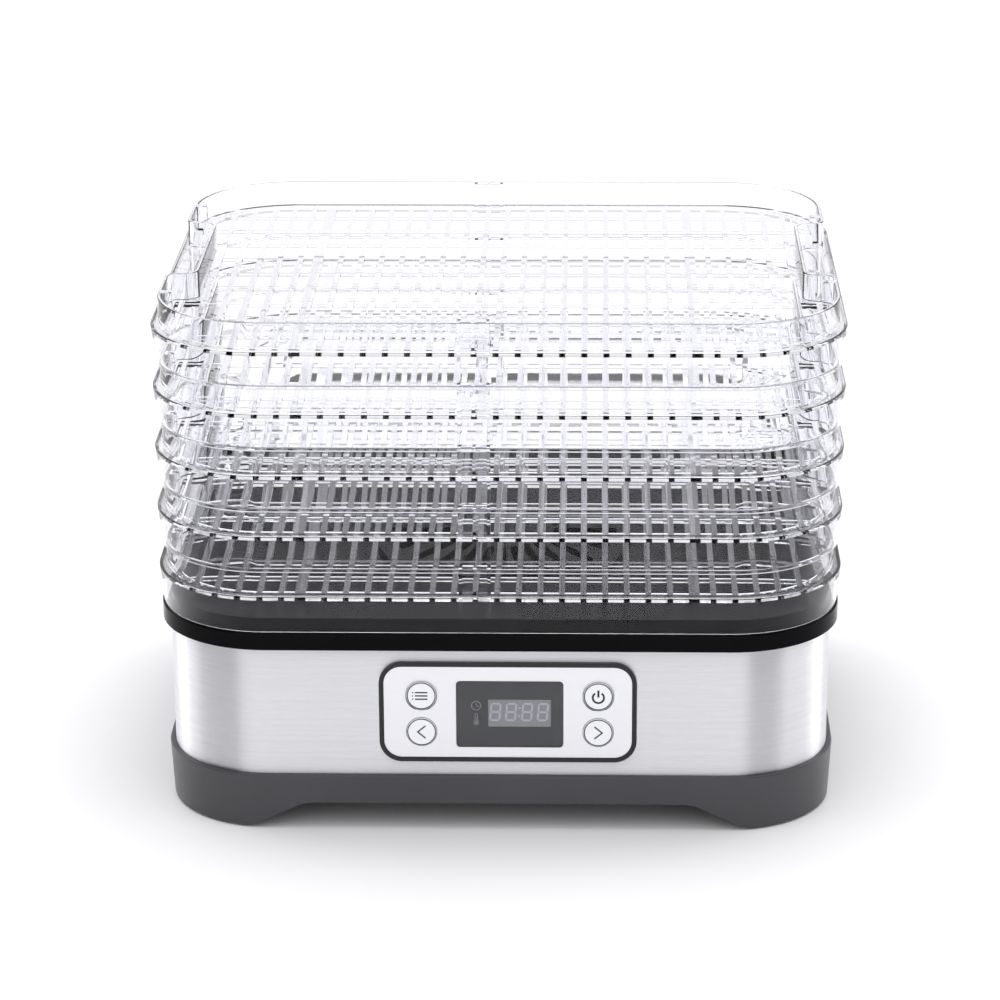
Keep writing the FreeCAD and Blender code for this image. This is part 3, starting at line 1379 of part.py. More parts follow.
# ---------------------------------------------------------------- whole object

trays()
base_pan()
foot_pads()
steel_shell()
top_housing()
housing_screws()
grille("intake_grille", "intake_radius", PAN_FLOOR_TOP, "intake_slot_width", "pan_floor")
grille("outlet_grille", "outlet_radius", DECK_TOP, "outlet_slot_width", "deck_thickness")
fan_duct()
duct_screws()
motor_bracket()
bracket_screws()
motor_housing()
motor_inside()
fan_impeller()
heater()
power_board()
cable_gland()
panel_bezel()
panel_plate()
display_lens()
for part in BUTTONS:
    button(*part)
control_board()
switches()
led_module()
doc.recompute()

for thing in doc.Objects:
    if {"Invalid", "Error"} & set(thing.State):
        raise ValueError(f"{thing.Name} failed: {thing.State}")
for piece in nodes:
    if piece.Shape.isNull() or not piece.Shape.isValid() or not piece.Shape.Solids:
        raise ValueError(f"{piece.Label} has no sound shape")

os.makedirs("parts", exist_ok=True)
for piece in nodes:
    piece.Shape.exportStep(f"parts/{piece.Label}.step")
    print(piece.Label, len(piece.Shape.Solids), round(piece.Shape.Volume))
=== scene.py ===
import math

import bmesh
import bpy
from mathutils import Matrix, Vector


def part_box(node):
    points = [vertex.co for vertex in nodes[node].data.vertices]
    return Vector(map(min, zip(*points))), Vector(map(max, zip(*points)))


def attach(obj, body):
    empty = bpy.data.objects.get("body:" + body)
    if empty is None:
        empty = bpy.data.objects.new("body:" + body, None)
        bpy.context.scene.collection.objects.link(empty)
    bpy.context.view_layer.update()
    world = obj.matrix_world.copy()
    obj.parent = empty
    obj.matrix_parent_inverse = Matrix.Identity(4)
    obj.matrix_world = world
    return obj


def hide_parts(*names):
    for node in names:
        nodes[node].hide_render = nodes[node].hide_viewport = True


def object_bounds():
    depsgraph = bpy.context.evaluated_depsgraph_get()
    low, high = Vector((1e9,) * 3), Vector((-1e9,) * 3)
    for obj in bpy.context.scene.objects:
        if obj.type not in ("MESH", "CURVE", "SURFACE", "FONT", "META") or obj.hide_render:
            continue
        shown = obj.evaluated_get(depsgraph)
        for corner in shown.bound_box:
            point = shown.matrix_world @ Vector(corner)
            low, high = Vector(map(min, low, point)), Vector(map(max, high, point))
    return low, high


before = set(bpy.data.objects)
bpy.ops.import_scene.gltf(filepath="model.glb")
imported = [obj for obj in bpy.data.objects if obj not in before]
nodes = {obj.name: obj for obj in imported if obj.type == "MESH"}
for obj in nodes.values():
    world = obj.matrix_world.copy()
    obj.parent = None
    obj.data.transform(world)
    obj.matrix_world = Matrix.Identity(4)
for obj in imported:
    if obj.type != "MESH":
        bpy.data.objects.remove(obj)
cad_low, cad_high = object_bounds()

MM = 0.001
scene = bpy.context.scene

# ---------------------------------------------------------------- material helpers


class Shader:
    """A node material built round one Principled shader, placed by object coordinates."""

    def __init__(self, name):
        self.material = bpy.data.materials.new(name)
        self.material.use_nodes = True
        self.tree = self.material.node_tree
        self.tree.nodes.clear()
        self.out = self.add("ShaderNodeOutputMaterial")
        self.base = self.add("ShaderNodeBsdfPrincipled")
        self.link(self.base.outputs["BSDF"], self.out.inputs["Surface"])

    def add(self, kind, **settings):
        made = self.tree.nodes.new(kind)
        for key, value in settings.items():
            setattr(made, key, value)
        return made

    def link(self, source, target):
        self.tree.links.new(source, target)

    def set(self, **values):
        for key, value in values.items():
            self.base.inputs[key.replace("_", " ")].default_value = value
        return self

    def place(self, scale):
        coords = self.add("ShaderNodeTexCoord")
        mapping = self.add("ShaderNodeMapping")
        mapping.inputs["Scale"].default_value = scale
        self.link(coords.outputs["Object"], mapping.inputs["Vector"])
        return mapping.outputs["Vector"]

    def noise(self, scale, detail=3.0, rough=0.5, stretch=(1, 1, 1)):
        made = self.add("ShaderNodeTexNoise")
        made.inputs["Scale"].default_value = scale
        made.inputs["Detail"].default_value = detail
        made.inputs["Roughness"].default_value = rough
        self.link(self.place(stretch), made.inputs["Vector"])
        return made.outputs["Fac"]

    def spread(self, value, low, high, start=0.3, end=0.7):
        made = self.add("ShaderNodeMapRange")
        made.inputs["From Min"].default_value = start
        made.inputs["From Max"].default_value = end
        made.inputs["To Min"].default_value = low
        made.inputs["To Max"].default_value = high
        self.link(value, made.inputs["Value"])
        return made.outputs["Result"]

    def ramp(self, value, first, second, start=0.3, end=0.7):
        made = self.add("ShaderNodeValToRGB")
        made.color_ramp.elements[0].position = start
        made.color_ramp.elements[1].position = end
        made.color_ramp.elements[0].color = (*first, 1)
        made.color_ramp.elements[1].color = (*second, 1)
        self.link(value, made.inputs["Fac"])
        return made.outputs["Color"]

    def bump(self, value, strength, distance):
        made = self.add("ShaderNodeBump")
        made.inputs["Strength"].default_value = strength
        made.inputs["Distance"].default_value = distance
        self.link(value, made.inputs["Height"])
        self.link(made.outputs["Normal"], self.base.inputs["Normal"])

    def drive(self, socket, value):
        self.link(value, self.base.inputs[socket])


def shade(colour, factor):
    return tuple(min(1.0, c * factor) for c in colour)


def plastic(name, colour, rough, grain=900.0, depth=0.00002, vary=0.08, specular=0.5):
    """Moulded plastic: faint clouding of the colour, a fine texture and uneven gloss."""
    s = Shader(name)
    clouds = s.noise(24.0, 4.0)
    s.drive("Base Color", s.ramp(clouds, shade(colour, 1 - vary), shade(colour, 1 + vary)))
    s.drive("Roughness", s.spread(s.noise(60.0, 5.0), rough * 0.85, rough * 1.15))
    s.bump(s.noise(grain, 2.0), 0.15, depth)
    s.set(Specular_IOR_Level=specular)
    return s.material


def metal(name, colour, rough, grain=(1, 1, 1), scale=300.0, depth=0.00002, vary=0.06):
    """Bare metal whose marks set its colour, its gloss and its texture together."""
    s = Shader(name)
    marks = s.noise(scale, 4.0, 0.6, grain)
    s.drive("Base Color", s.ramp(marks, shade(colour, 1 - vary), shade(colour, 1 + vary)))
    s.drive("Roughness", s.spread(marks, rough * 0.8, rough * 1.2))
    s.bump(marks, 0.2, depth)
    s.set(Metallic=1.0)
    return s.material


def brushed(name, colour, rough, stretch, anisotropic, vary=0.05):
    """Sheet metal brushed along the level lines of its surface: the gloss spreads up and down."""
    s = Shader(name)
    lines = s.noise(1.0, 6.0, 0.75, stretch)
    broad = s.noise(1.0, 2.0, 0.5, tuple(v / 9 for v in stretch))
    both = s.add("ShaderNodeMath", operation="MULTIPLY_ADD")
    s.link(broad, both.inputs[0])
    both.inputs[1].default_value = 0.35
    s.link(lines, both.inputs[2])
    marks = both.outputs[0]
    start, end = 0.45, 0.9
    tones = shade(colour, 1 - vary), shade(colour, 1 + vary)
    s.drive("Base Color", s.ramp(marks, *tones, start, end))
    s.drive("Roughness", s.spread(marks, rough * 0.85, rough * 1.15, start, end))
    s.bump(marks, 0.12, 0.00003)
    geometry = s.add("ShaderNodeNewGeometry")
    level = s.add("ShaderNodeVectorMath", operation="CROSS_PRODUCT")
    s.link(geometry.outputs["True Normal"], level.inputs[0])
    level.inputs[1].default_value = (0, 0, 1)
    s.link(level.outputs["Vector"], s.base.inputs["Tangent"])
    s.set(Metallic=1.0, Anisotropic=anisotropic, Anisotropic_Rotation=0.25)
    return s.material


def clear(name, tint, rough, ior, flow=0.0, gloss=1.0):
    """Clear plastic that lamps shine through. Flow is the unevenness of its surface."""
    s = Shader(name)
    s.set(Transmission_Weight=1.0, IOR=ior, Specular_Tint=(gloss, gloss, gloss, 1))
    s.drive("Base Color", s.ramp(s.noise(18.0, 3.0), shade(tint, 0.99), tint))
    s.drive("Roughness", s.spread(s.noise(45.0, 4.0), rough * 0.6, rough * 1.4))
    if flow:
        s.bump(s.noise(55.0, 3.0, 0.4), flow, 0.0002)
    passing = s.add("ShaderNodeBsdfTransparent")
    passing.inputs["Color"].default_value = (*shade(tint, 0.97), 1)
    path = s.add("ShaderNodeLightPath")
    mix = s.add("ShaderNodeMixShader")
    s.link(path.outputs["Is Shadow Ray"], mix.inputs[0])
    s.link(s.base.outputs["BSDF"], mix.inputs[1])
    s.link(passing.outputs["BSDF"], mix.inputs[2])
    s.link(mix.outputs["Shader"], s.out.inputs["Surface"])
    return s.material


CLEAR_IOR = 1.49

# One finish for each material slot of the record.
MATERIALS = {
    "clear_tray": clear(
        "clear_tray_plastic", (0.972, 0.972, 0.988), 0.01, CLEAR_IOR, flow=0.02, gloss=0.25
    ),
    "base_black": plastic(
        "base_charcoal", (0.05, 0.05, 0.056), 0.34, 500.0, 0.000006, 0.08, specular=0.45
    ),
    "ring_black": plastic(
        "ring_gloss_black", (0.003, 0.003, 0.0036), 0.08, 500.0, 0.000003, 0.1, specular=0.04
    ),
    "steel": brushed("brushed_steel", (0.86, 0.862, 0.885), 0.42, (95, 95, 4200), 0.98, 0.11),
    "rubber": plastic("foot_rubber", (0.02, 0.02, 0.02), 0.75, 1500.0, 0.00006),
    "bezel_black": plastic(
        "bezel_gloss_black", (0.008, 0.008, 0.009), 0.1, 500.0, 0.000004, 0.1, specular=0.4
    ),
    "panel_silver": brushed("panel_brushed", (0.87, 0.87, 0.895), 0.42, (40, 40, 3800), 0.5, 0.02),
    "lens_grey": clear("smoked_lens", (0.8, 0.81, 0.83), 0.02, CLEAR_IOR, gloss=0.85),
    "led_face": plastic("display_face", (0.52, 0.525, 0.55), 0.45, 1200.0, 0.00001, 0.03),
    "button_silver": plastic("button_lacquer", (0.9, 0.905, 0.93), 0.16, 500.0, 0.000003, 0.01),
    "board_green": plastic("circuit_board", (0.02, 0.12, 0.06), 0.4, 400.0, 0.00004, 0.3),
    "dark_plastic": plastic("dark_plastic", (0.022, 0.022, 0.024), 0.35, 800.0, 0.00003),
    "inner_grey": plastic("duct_plastic", (0.25, 0.25, 0.26), 0.5, 700.0, 0.00004),
    "zinc_screw": metal("zinc_plate", (0.62, 0.63, 0.66), 0.35),
    "motor_steel": metal("motor_can_steel", (0.55, 0.55, 0.57), 0.32),
    "bearing_bronze": metal("sintered_bronze", (0.55, 0.36, 0.2), 0.5, (1, 1, 1), 2500.0),
    "stator_core": metal("laminated_core", (0.25, 0.25, 0.26), 0.5, (1, 1, 90), 20.0),
    "shaft_steel": metal("ground_shaft", (0.7, 0.7, 0.72), 0.2),
    "fan_white": plastic("fan_plastic", (0.75, 0.75, 0.73), 0.4, 700.0),
    "mica": plastic("mica_sheet", (0.55, 0.47, 0.35), 0.3, 250.0, 0.00004, 0.25),
    "heating_wire": metal("heating_wire", (0.42, 0.36, 0.33), 0.35),
    "ceramic": plastic("ceramic", (0.8, 0.78, 0.72), 0.35, 900.0),
}

chrome = metal("chrome_trim", (0.82, 0.83, 0.85), 0.08, (1, 1, 1), 500.0, 0.000002, 0.02)
ink = plastic("symbol_ink", (0.012, 0.012, 0.016), 0.35, 900.0, 0.00001, 0.1)
pale_ink = plastic("icon_ink", (0.7, 0.71, 0.74), 0.4, 900.0, 0.00001, 0.05)
segment = plastic("digit_segment", (0.95, 0.955, 0.97), 0.35, 900.0, 0.00001, 0.03)
mask = plastic("display_mask", (0.016, 0.016, 0.019), 0.5, 900.0, 0.00001, 0.05)

# ---------------------------------------------------------------- mesh helpers


SMOOTH_BELOW = 35.0


def finish_mesh(bm, name, material, body):
    """The shape as a piece that rides a body, with its sharp edges kept."""
    bmesh.ops.remove_doubles(bm, verts=bm.verts, dist=1e-7)
    bmesh.ops.recalc_face_normals(bm, faces=bm.faces)
    mesh = bpy.data.meshes.new(name)
    bm.to_mesh(mesh)
    bm.free()
    mesh.materials.append(material)
    piece = bpy.data.objects.new(name, mesh)
    scene.collection.objects.link(piece)
    for face in mesh.polygons:
        face.use_smooth = True
    mesh.set_sharp_from_angle(angle=math.radians(SMOOTH_BELOW))
    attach(piece, body)
    return piece


def turned(name, profile, centre, material, body, steps=96):
    """A solid turned about a line along Y through centre. The profile is (radius, y)."""
    bm = bmesh.new()
    rings = []
    for radius, y in profile:
        if radius < 1e-9:
            rings.append([bm.verts.new((centre[0], y, centre[1]))])
            continue
        ring = []
        for i in range(steps):
            a = 2 * math.pi * i / steps
            place = (centre[0] + radius * math.cos(a), y, centre[1] + radius * math.sin(a))
            ring.append(bm.verts.new(place))
        rings.append(ring)
    for low, high in zip(rings, rings[1:]):
        for i in range(steps):
            j = (i + 1) % steps
            turns = ((low, i), (low, j), (high, j), (high, i))
            corners = [ring[k % len(ring)] for ring, k in turns]
            unique = list(dict.fromkeys(corners))
            if len(unique) > 2:
                bm.faces.new(unique)
    return finish_mesh(bm, name, material, body)


def plate(bm, points, front, depth):
    """A flat piece standing off the panel: its outline (x, z), its front and its depth."""
    near = [bm.verts.new((x, front, z)) for x, z in points]
    far = [bm.verts.new((x, front + depth, z)) for x, z in points]
    bm.faces.new(near)
    bm.faces.new(list(reversed(far)))
    for i in range(len(points)):
        j = (i + 1) % len(points)
        bm.faces.new((near[i], far[i], far[j], near[j]))


def arc(x, z, radius, start, end, steps):
    """Points along an arc, from one angle to another in degrees."""
    turn = [math.radians(start + (end - start) * i / steps) for i in range(steps + 1)]
    return [(x + radius * math.cos(a), z + radius * math.sin(a)) for a in turn]


def stroke(bm, line, width, front, depth):
    """A line of even width through the points, with mitred corners and square ends."""
    left, right = [], []
    count = len(line)
    for i, (x, z) in enumerate(line):
        before = Vector(line[i]) - Vector(line[i - 1]) if i else Vector(line[1]) - Vector(line[0])
        after = Vector(line[i + 1]) - Vector(line[i]) if i < count - 1 else before
        before.normalize()
        after.normalize()
        along = (before + after).normalized()
        side = Vector((-along.y, along.x))
        reach = width / 2 / max(0.3, side.dot(Vector((-after.y, after.x))))
        left.append((x + side.x * reach, z + side.y * reach))
        right.append((x - side.x * reach, z - side.y * reach))
    for i in range(count - 1):
        plate(bm, [left[i], left[i + 1], right[i + 1], right[i]], front, depth)


def loop(bm, x, z, radius, width, front, depth, steps=72):
    """A flat ring of that outer radius and width."""
    outer, inner = arc(x, z, radius, 0, 360, steps), arc(x, z, radius - width, 0, 360, steps)
    for i in range(steps):
        plate(bm, [outer[i], outer[i + 1], inner[i + 1], inner[i]], front, depth)


# ---------------------------------------------------------------- carried-over nodes

for thing in nodes.values():
    for i, packed in enumerate(thing.data.materials):
        thing.data.materials[i] = MATERIALS[packed.name]

# ---------------------------------------------------------------- trays


WELD = 1e-6


def welded(source):
    """A copy of a CAD node in the row frame, with its doubled corners made one."""
    mesh = source.data.copy()
    mesh.transform(source.matrix_world)
    for layer in [a.name for a in mesh.attributes if a.name == "custom_normal"]:
        mesh.attributes.remove(mesh.attributes[layer])
    bm = bmesh.new()
    bm.from_mesh(mesh)
    bmesh.ops.remove_doubles(bm, verts=bm.verts, dist=WELD)
    bm.to_mesh(mesh)
    bm.free()
    copy = bpy.data.objects.new(f"{source.name}_welded", mesh)
    scene.collection.objects.link(copy)
    return copy


def one_moulding(name, walls, grid, body, slot):
    """The walls and the floor grid of a tray as one closed skin."""
    whole, part = welded(nodes[walls]), welded(nodes[grid])
    union = whole.modifiers.new("union", "BOOLEAN")
    union.operation = "UNION"
    union.solver = "EXACT"
    union.object = part
    shape = whole.evaluated_get(bpy.context.evaluated_depsgraph_get())
    mesh = bpy.data.meshes.new_from_object(shape)
    mesh.name = name
    for scratch in (whole, part):
        bpy.data.objects.remove(scratch)
    mesh.materials.clear()
    mesh.materials.append(MATERIALS[slot])
    for face in mesh.polygons:
        face.use_smooth = True
        face.material_index = 0
    mesh.set_sharp_from_angle(angle=math.radians(30.0))
    piece = bpy.data.objects.new(name, mesh)
    scene.collection.objects.link(piece)
    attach(piece, body)
    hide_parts(walls, grid)


TRAYS = 5
for level in range(1, TRAYS + 1):
    tray = f"tray_{level}"
    one_moulding(f"{tray}_moulding", tray, f"{tray}_grid", tray, "clear_tray")

# ---------------------------------------------------------------- buttons

plate_low, plate_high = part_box("panel_plate")
plate_front = plate_low.y
INK_RISE, INK_DEPTH, PEN = 0.05 * MM, 0.08 * MM, 0.68 * MM
FLANGE_RIM, FLANGE_DEPTH, FLANGE_GAP = 1.1 * MM, 1.1 * MM, 0.1 * MM
STEM, STEM_TIP, STEM_CHAMFER = 2.0 * MM, 0.85, 0.3 * MM
FACE_SINK = 0.06 * MM
OUTLINE_INSET, OUTLINE = 0.3 * MM, 0.5 * MM
# The rounding of a cap's edge: inward from its side and back from its front.
CAP_EDGE = ((0.0, 0.45), (0.06, 0.28), (0.2, 0.14), (0.42, 0.07), (1.0, 0.06))
# The section of a chrome surround: outward from the cap and back from the plate.
SURROUND = ((0.28, 0.3), (0.28, -0.15), (0.5, -0.34), (0.85, -0.28))
SURROUND += ((1.0, 0.0), (1.0, 0.3), (0.28, 0.3))


def power_mark(bm, x, z, front):
    radius, drop, top = 2.7 * MM, 0.5 * MM, 3.3 * MM
    stroke(bm, arc(x, z - drop, radius, 125, 415, 40), PEN * 1.4, front, INK_DEPTH)
    stroke(bm, [(x, z - 0.3 * MM), (x, z + top)], PEN * 1.5, front, INK_DEPTH)


def list_mark(bm, x, z, front):
    half, dot, dot_half, dot_pen = 3.0 * MM, x - 4.1 * MM, 0.3 * MM, 0.6 * MM
    for level in (-1.7, 0.0, 1.7):
        height = z + level * MM
        stroke(bm, [(x - half, height), (x + half, height)], PEN, front, INK_DEPTH)
        stroke(bm, [(dot - dot_half, height), (dot + dot_half, height)], dot_pen, front, INK_DEPTH)


def arrow_mark(bm, x, z, front, side):
    tip, wing, rise = x + side * 1.9 * MM, x - side * 1.9 * MM, 3.2 * MM
    stroke(bm, [(wing, z + rise), (tip, z), (wing, z - rise)], PEN, front, INK_DEPTH)


for name in ("button_menu", "button_down", "button_power", "button_up"):
    low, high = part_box(name)
    x, z = (low.x + high.x) / 2, (low.z + high.z) / 2
    front, back = low.y, high.y
    face = front + FACE_SINK
    flange = (high.x - low.x) / 2
    cap = flange - FLANGE_RIM
    flange_front = plate_high.y + FLANGE_GAP
    profile = [
        (0, back),
        (STEM * STEM_TIP, back),
        (STEM, back - STEM_CHAMFER),
        (STEM, flange_front + FLANGE_DEPTH),
        (flange, flange_front + FLANGE_DEPTH),
        (flange, flange_front),
        (cap, flange_front),
        *((cap - inward * MM, front + behind * MM) for inward, behind in CAP_EDGE),
        (0, face),
    ]
    finish = "button_silver"
    made = turned(f"{name}_cap", profile, (x, z), MATERIALS[finish], name)
    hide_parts(name)
    bm = bmesh.new()
    loop(bm, x, z, cap - OUTLINE_INSET, OUTLINE, face - INK_RISE, INK_DEPTH)
    finish_mesh(bm, f"{name}_outline", ink, name)
    if name in ("button_menu", "button_power"):
        section = [(cap + out * MM, plate_front + behind * MM) for out, behind in SURROUND]
        turned(f"{name}_surround", section, (x, z), chrome, "base")
    bm = bmesh.new()
    if name == "button_power":
        power_mark(bm, x, z, face - INK_RISE)
    elif name == "button_menu":
        list_mark(bm, x, z, face - INK_RISE)
    else:
        arrow_mark(bm, x, z, face - INK_RISE, -1 if name == "button_down" else 1)
    finish_mesh(bm, f"{name}_mark", ink, name)

# ---------------------------------------------------------------- display

lens_low, lens_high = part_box("display_lens")
led_low, led_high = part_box("led_module")
led_x, led_z = (led_low.x + led_high.x) / 2, (led_low.z + led_high.z) / 2
MASK_GAP, MASK_THICKNESS, MASK_MARGIN = 0.05 * MM, 0.15 * MM, 0.1 * MM
mask_front = lens_high.y + MASK_GAP
bm = bmesh.new()
sides = (lens_low.x, led_low.x - MASK_MARGIN, led_high.x + MASK_MARGIN, lens_high.x)
levels = (lens_low.z, led_low.z - MASK_MARGIN, led_high.z + MASK_MARGIN, lens_high.z)
for i in range(3):
    for j in range(3):
        if (i, j) != (1, 1):
            corner = [(sides[i], levels[j]), (sides[i + 1], levels[j])]
            corner += [(sides[i + 1], levels[j + 1]), (sides[i], levels[j + 1])]
            plate(bm, corner, mask_front, MASK_THICKNESS)
finish_mesh(bm, "display_mask", mask, "base")


def digit(bm, x, z, width, height, thick, front, depth, lean=0.08):
    """A seven-segment figure with all its bars, leaning a little to the right."""
    gap = 0.16

    def bar(ax, az, bx, bz):
        a, b = Vector((ax, az)), Vector((bx, bz))
        along = (b - a).normalized()
        side = Vector((-along.y, along.x)) * thick / 2
        a, b = a + along * thick * gap, b - along * thick * gap
        tips = [a, a + along * thick / 2 + side, b - along * thick / 2 + side]
        tips += [b, b - along * thick / 2 - side, a + along * thick / 2 - side]
        plate(bm, [(x + p.x + lean * p.y, z + p.y) for p in tips], front, depth)

    w, h = width / 2, height / 2
    bar(-w, h, w, h)
    bar(-w, 0, w, 0)
    bar(-w, -h, w, -h)
    for s in (-w, w):
        bar(s, 0, s, h)
        bar(s, -h, s, 0)


SEGMENT_RISE, SEGMENT_DEPTH, SEGMENT_WIDTH = 0.06 * MM, 0.1 * MM, 0.95 * MM
FIGURE_WIDTH, FIGURE_HEIGHT, FIGURE_SHIFT = 4.4 * MM, 8.6 * MM, 0.2 * MM
FIGURE_PITCH, MIDDLE_PITCH, FIGURE_RISE = 0.253, 1.02, 0.045
COLON_RADIUS, COLON_HALF, COLON_SHIFT = 0.55 * MM, 2.1 * MM, 0.15 * MM
led_width, led_height = led_high.x - led_low.x, led_high.z - led_low.z
bm = bmesh.new()
segment_front = led_low.y - SEGMENT_RISE
pitch = led_width * FIGURE_PITCH
figure_z = led_z + led_height * FIGURE_RISE
for i in range(4):
    centre = led_x + (i - 1.5) * pitch * (1.0 if i in (0, 3) else MIDDLE_PITCH) - FIGURE_SHIFT
    size = (FIGURE_WIDTH, FIGURE_HEIGHT, SEGMENT_WIDTH)
    digit(bm, centre, figure_z, *size, segment_front, SEGMENT_DEPTH)
for level in (-1, 1):
    spot = (led_x - COLON_SHIFT + level * COLON_SHIFT, figure_z + level * COLON_HALF)
    plate(bm, arc(*spot, COLON_RADIUS, 0, 345, 23), segment_front, SEGMENT_DEPTH)
finish_mesh(bm, "display_digits", segment, "base")

ICON_LEFT, ICON_PEN, ICON_RISE, ICON_DEPTH = 5.8 * MM, 0.22 * MM, 0.04 * MM, 0.06 * MM
icon_x, icon_front = led_low.x - ICON_LEFT, mask_front - ICON_RISE


def clock_icon(bm, x, z, front, depth):
    """A dial with twelve ticks and two hands."""
    loop(bm, x, z, 2.35 * MM, ICON_PEN, front, depth)
    hands = [(x, z + 1.4 * MM), (x, z), (x + 1.1 * MM, z - 0.5 * MM)]
    stroke(bm, hands, ICON_PEN, front, depth)
    tick_pen, tick_ends = 0.14 * MM, (1.75 * MM, 2.05 * MM)
    for k in range(12):
        a = math.radians(30 * k)
        tick = [(x + r * math.cos(a), z + r * math.sin(a)) for r in tick_ends]
        stroke(bm, tick, tick_pen, front, depth)


def thermometer_icon(bm, x, z, front, depth):
    """A bulb with a stem, and a filled drop and line inside."""
    bulb, drop, column = 1.25 * MM, 0.55 * MM, 2.6 * MM
    stem_half, stem_top = 0.62 * MM, z + 4.2 * MM
    outline = arc(x, z, bulb, 120, 420, 36)
    outline += arc(x, stem_top, stem_half, 0, 180, 12)
    outline.append(outline[0])
    stroke(bm, outline, ICON_PEN, front, depth)
    plate(bm, arc(x, z, drop, 0, 345, 23), front, depth)
    stroke(bm, [(x, z), (x, z + column)], ICON_PEN, front, depth)


bm = bmesh.new()
clock_icon(bm, icon_x, led_z + 3.9 * MM, icon_front, ICON_DEPTH)
thermometer_icon(bm, icon_x, led_z - 4.9 * MM, icon_front, ICON_DEPTH)
finish_mesh(bm, "display_icons", pale_ink, "base")

# ---------------------------------------------------------------- heating coil

WIRE_RADIUS, WIRE_GAP, RING_PITCH = 0.32 * MM, 0.34 * MM, 12.0 * MM
TURNS_PER_MM, POINTS_PER_TURN, RINGS = 3.4, 9, 3
coil_low, coil_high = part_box("heater_coil")
coil_z = (coil_low.z + coil_high.z) / 2
tube_radius = (coil_high.z - coil_low.z) / 2
outer_ring = coil_high.x - tube_radius
curve = bpy.data.curves.new("heating_coil", "CURVE")
curve.dimensions = "3D"
curve.bevel_depth = WIRE_RADIUS
curve.bevel_resolution = 1
for k in range(RINGS):
    ring_radius = outer_ring - (RINGS - 1 - k) * RING_PITCH
    turns = round(ring_radius / MM * TURNS_PER_MM)
    count = turns * POINTS_PER_TURN
    spline = curve.splines.new("POLY")
    spline.points.add(count - 1)
    spline.use_cyclic_u = True
    wound = tube_radius - WIRE_GAP
    for i, point in enumerate(spline.points):
        a, b = 2 * math.pi * i / count, 2 * math.pi * turns * i / count
        r = ring_radius + wound * math.cos(b)
        point.co = (r * math.cos(a), r * math.sin(a), coil_z + wound * math.sin(b), 1)
curve.materials.append(MATERIALS["heating_wire"])
coil = bpy.data.objects.new("heating_coil", curve)
scene.collection.objects.link(coil)
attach(coil, "base")
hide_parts("heater_coil")

# ---------------------------------------------------------------- floor, lights and camera


def floor_material():
    s = Shader("studio_floor")
    s.drive("Base Color", s.ramp(s.noise(3.0, 4.0), (0.90, 0.90, 0.905), (0.92, 0.92, 0.925)))
    s.drive("Roughness", s.spread(s.noise(9.0, 3.0), 0.55, 0.65))
    s.bump(s.noise(400.0, 3.0), 0.05, 0.0001)
    s.set(Specular_IOR_Level=0.2)
    return s.material


FLOOR_SIZE = 30
bpy.ops.mesh.primitive_plane_add(size=FLOOR_SIZE)
floor = bpy.context.object
floor.name = "studio_floor"
floor.data.materials.append(floor_material())

world = bpy.data.worlds.new("studio")
scene.world = world
world.use_nodes = True
# The sky is softly brighter overhead than at the horizon.
sky = world.node_tree
background = sky.nodes["Background"]
background.inputs["Color"].default_value = (0.985, 0.985, 1.0, 1)
direction = sky.nodes.new("ShaderNodeTexCoord")
split = sky.nodes.new("ShaderNodeSeparateXYZ")
rise = sky.nodes.new("ShaderNodeMapRange")
for limit, value in {"From Min": 0.0, "From Max": 0.6, "To Min": 0.55, "To Max": 1.12}.items():
    rise.inputs[limit].default_value = value
sky.links.new(direction.outputs["Generated"], split.inputs["Vector"])
sky.links.new(split.outputs["Z"], rise.inputs["Value"])
sky.links.new(rise.outputs["Result"], background.inputs["Strength"])


def softbox(name, place, target, width, height, power):
    light = bpy.data.lights.new(name, "AREA")
    light.shape = "RECTANGLE"
    light.size, light.size_y = width, height
    light.energy = power
    lamp = bpy.data.objects.new(name, light)
    lamp.location = place
    aim = Vector(target) - Vector(place)
    lamp.rotation_euler = aim.to_track_quat("-Z", "Y").to_euler()
    scene.collection.objects.link(lamp)


middle = (cad_low + cad_high) / 2
softbox("key_above", (0.0, 0.1, 2.0), middle, 2.0, 1.4, 14.0)
softbox("left_side", (-1.3, 0.5, 0.5), middle, 0.5, 1.0, 2.5)
softbox("right_side", (1.3, 0.5, 0.5), middle, 0.5, 1.0, 2.5)


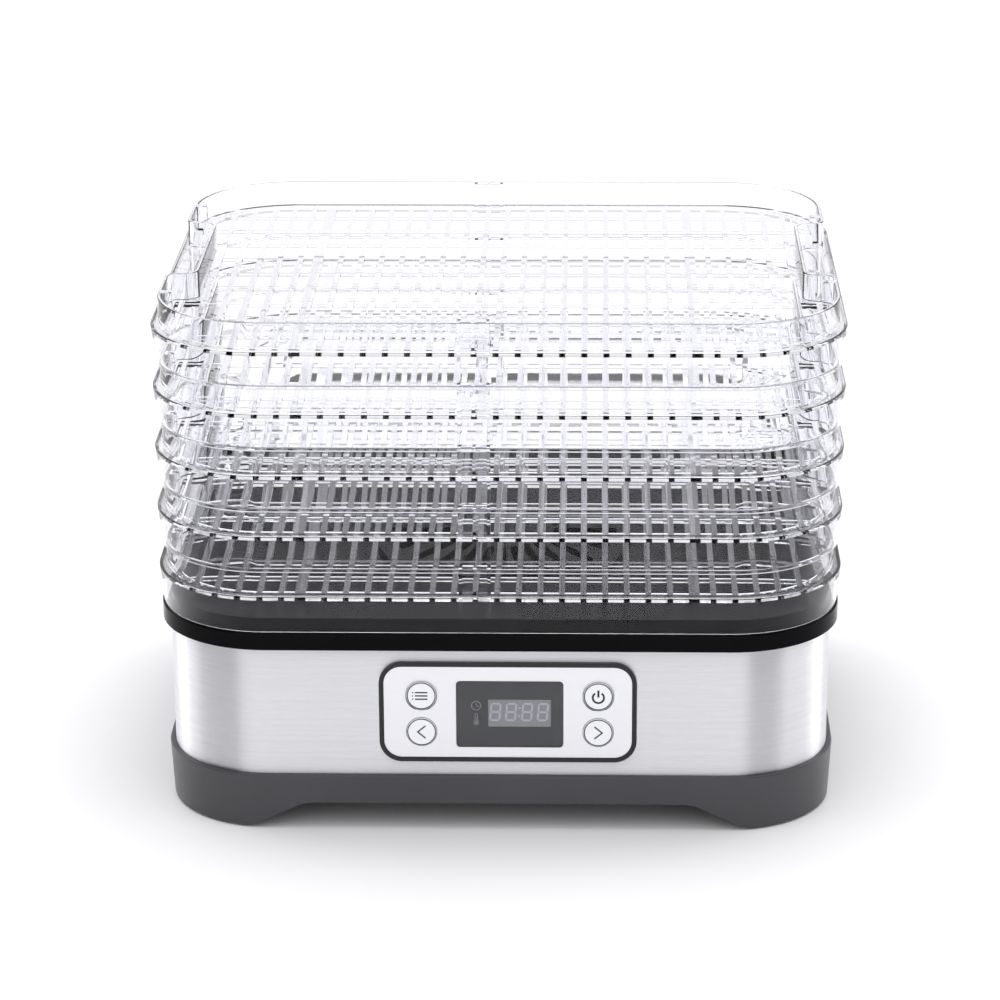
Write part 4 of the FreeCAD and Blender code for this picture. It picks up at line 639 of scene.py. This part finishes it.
def card(name, place, width, height):
    """A dark card beside the object, seen only in its gloss, which shades the rounded corners."""
    bm = bmesh.new()
    across = Vector((-place[1], place[0], 0)).normalized() * width / 2
    foot, rise = Vector((place[0], place[1], 0.02)), Vector((0, 0, height))
    corners = (foot - across, foot + across, foot + across + rise, foot - across + rise)
    bm.faces.new([bm.verts.new(p) for p in corners])
    mesh = bpy.data.meshes.new(name)
    bm.to_mesh(mesh)
    bm.free()
    mesh.materials.append(card_grey)
    thing = bpy.data.objects.new(name, mesh)
    scene.collection.objects.link(thing)
    thing.visible_camera = False
    thing.visible_diffuse = False
    thing.visible_transmission = False
    thing.visible_shadow = False


card_grey = plastic("card_grey", (0.02, 0.02, 0.022), 0.8, 400.0, 0.00001)
card("left_card", (-0.62, -0.38, 0), 0.56, 1.0)
card("right_card", (0.52, -0.54, 0), 0.42, 1.0)

AZIMUTH, ELEVATION, ROLL = math.radians(1.6), math.radians(19.56), math.radians(-0.30)
DISTANCE, TARGET, LENS = 1.812, Vector((-0.0019, 0.0, 0.1235)), 127.9
back = Vector(
    (
        math.sin(AZIMUTH) * math.cos(ELEVATION),
        -math.cos(AZIMUTH) * math.cos(ELEVATION),
        math.sin(ELEVATION),
    )
)
right = (-back).cross(Vector((0, 0, 1))).normalized()
up = right.cross(-back)
right, up = (
    right * math.cos(ROLL) + up * math.sin(ROLL),
    up * math.cos(ROLL) - right * math.sin(ROLL),
)
camera = bpy.data.objects.new("camera", bpy.data.cameras.new("camera"))
scene.collection.objects.link(camera)
turn = Matrix((right, up, back)).transposed().to_4x4()
camera.matrix_world = Matrix.Translation(TARGET + back * DISTANCE) @ turn
camera.data.lens = LENS
camera.data.sensor_width = 36.0
camera.data.clip_start = 0.05
camera.data.clip_end = 50.0
scene.camera = camera

scene.view_settings.view_transform = "Standard"
scene.cycles.use_denoising = True
scene.cycles.max_bounces = 32
scene.cycles.transmission_bounces = 32
scene.cycles.transparent_max_bounces = 48
scene.cycles.glossy_bounces = 8
scene.cycles.diffuse_bounces = 4
scene.cycles.caustics_refractive = True
scene.cycles.caustics_reflective = False
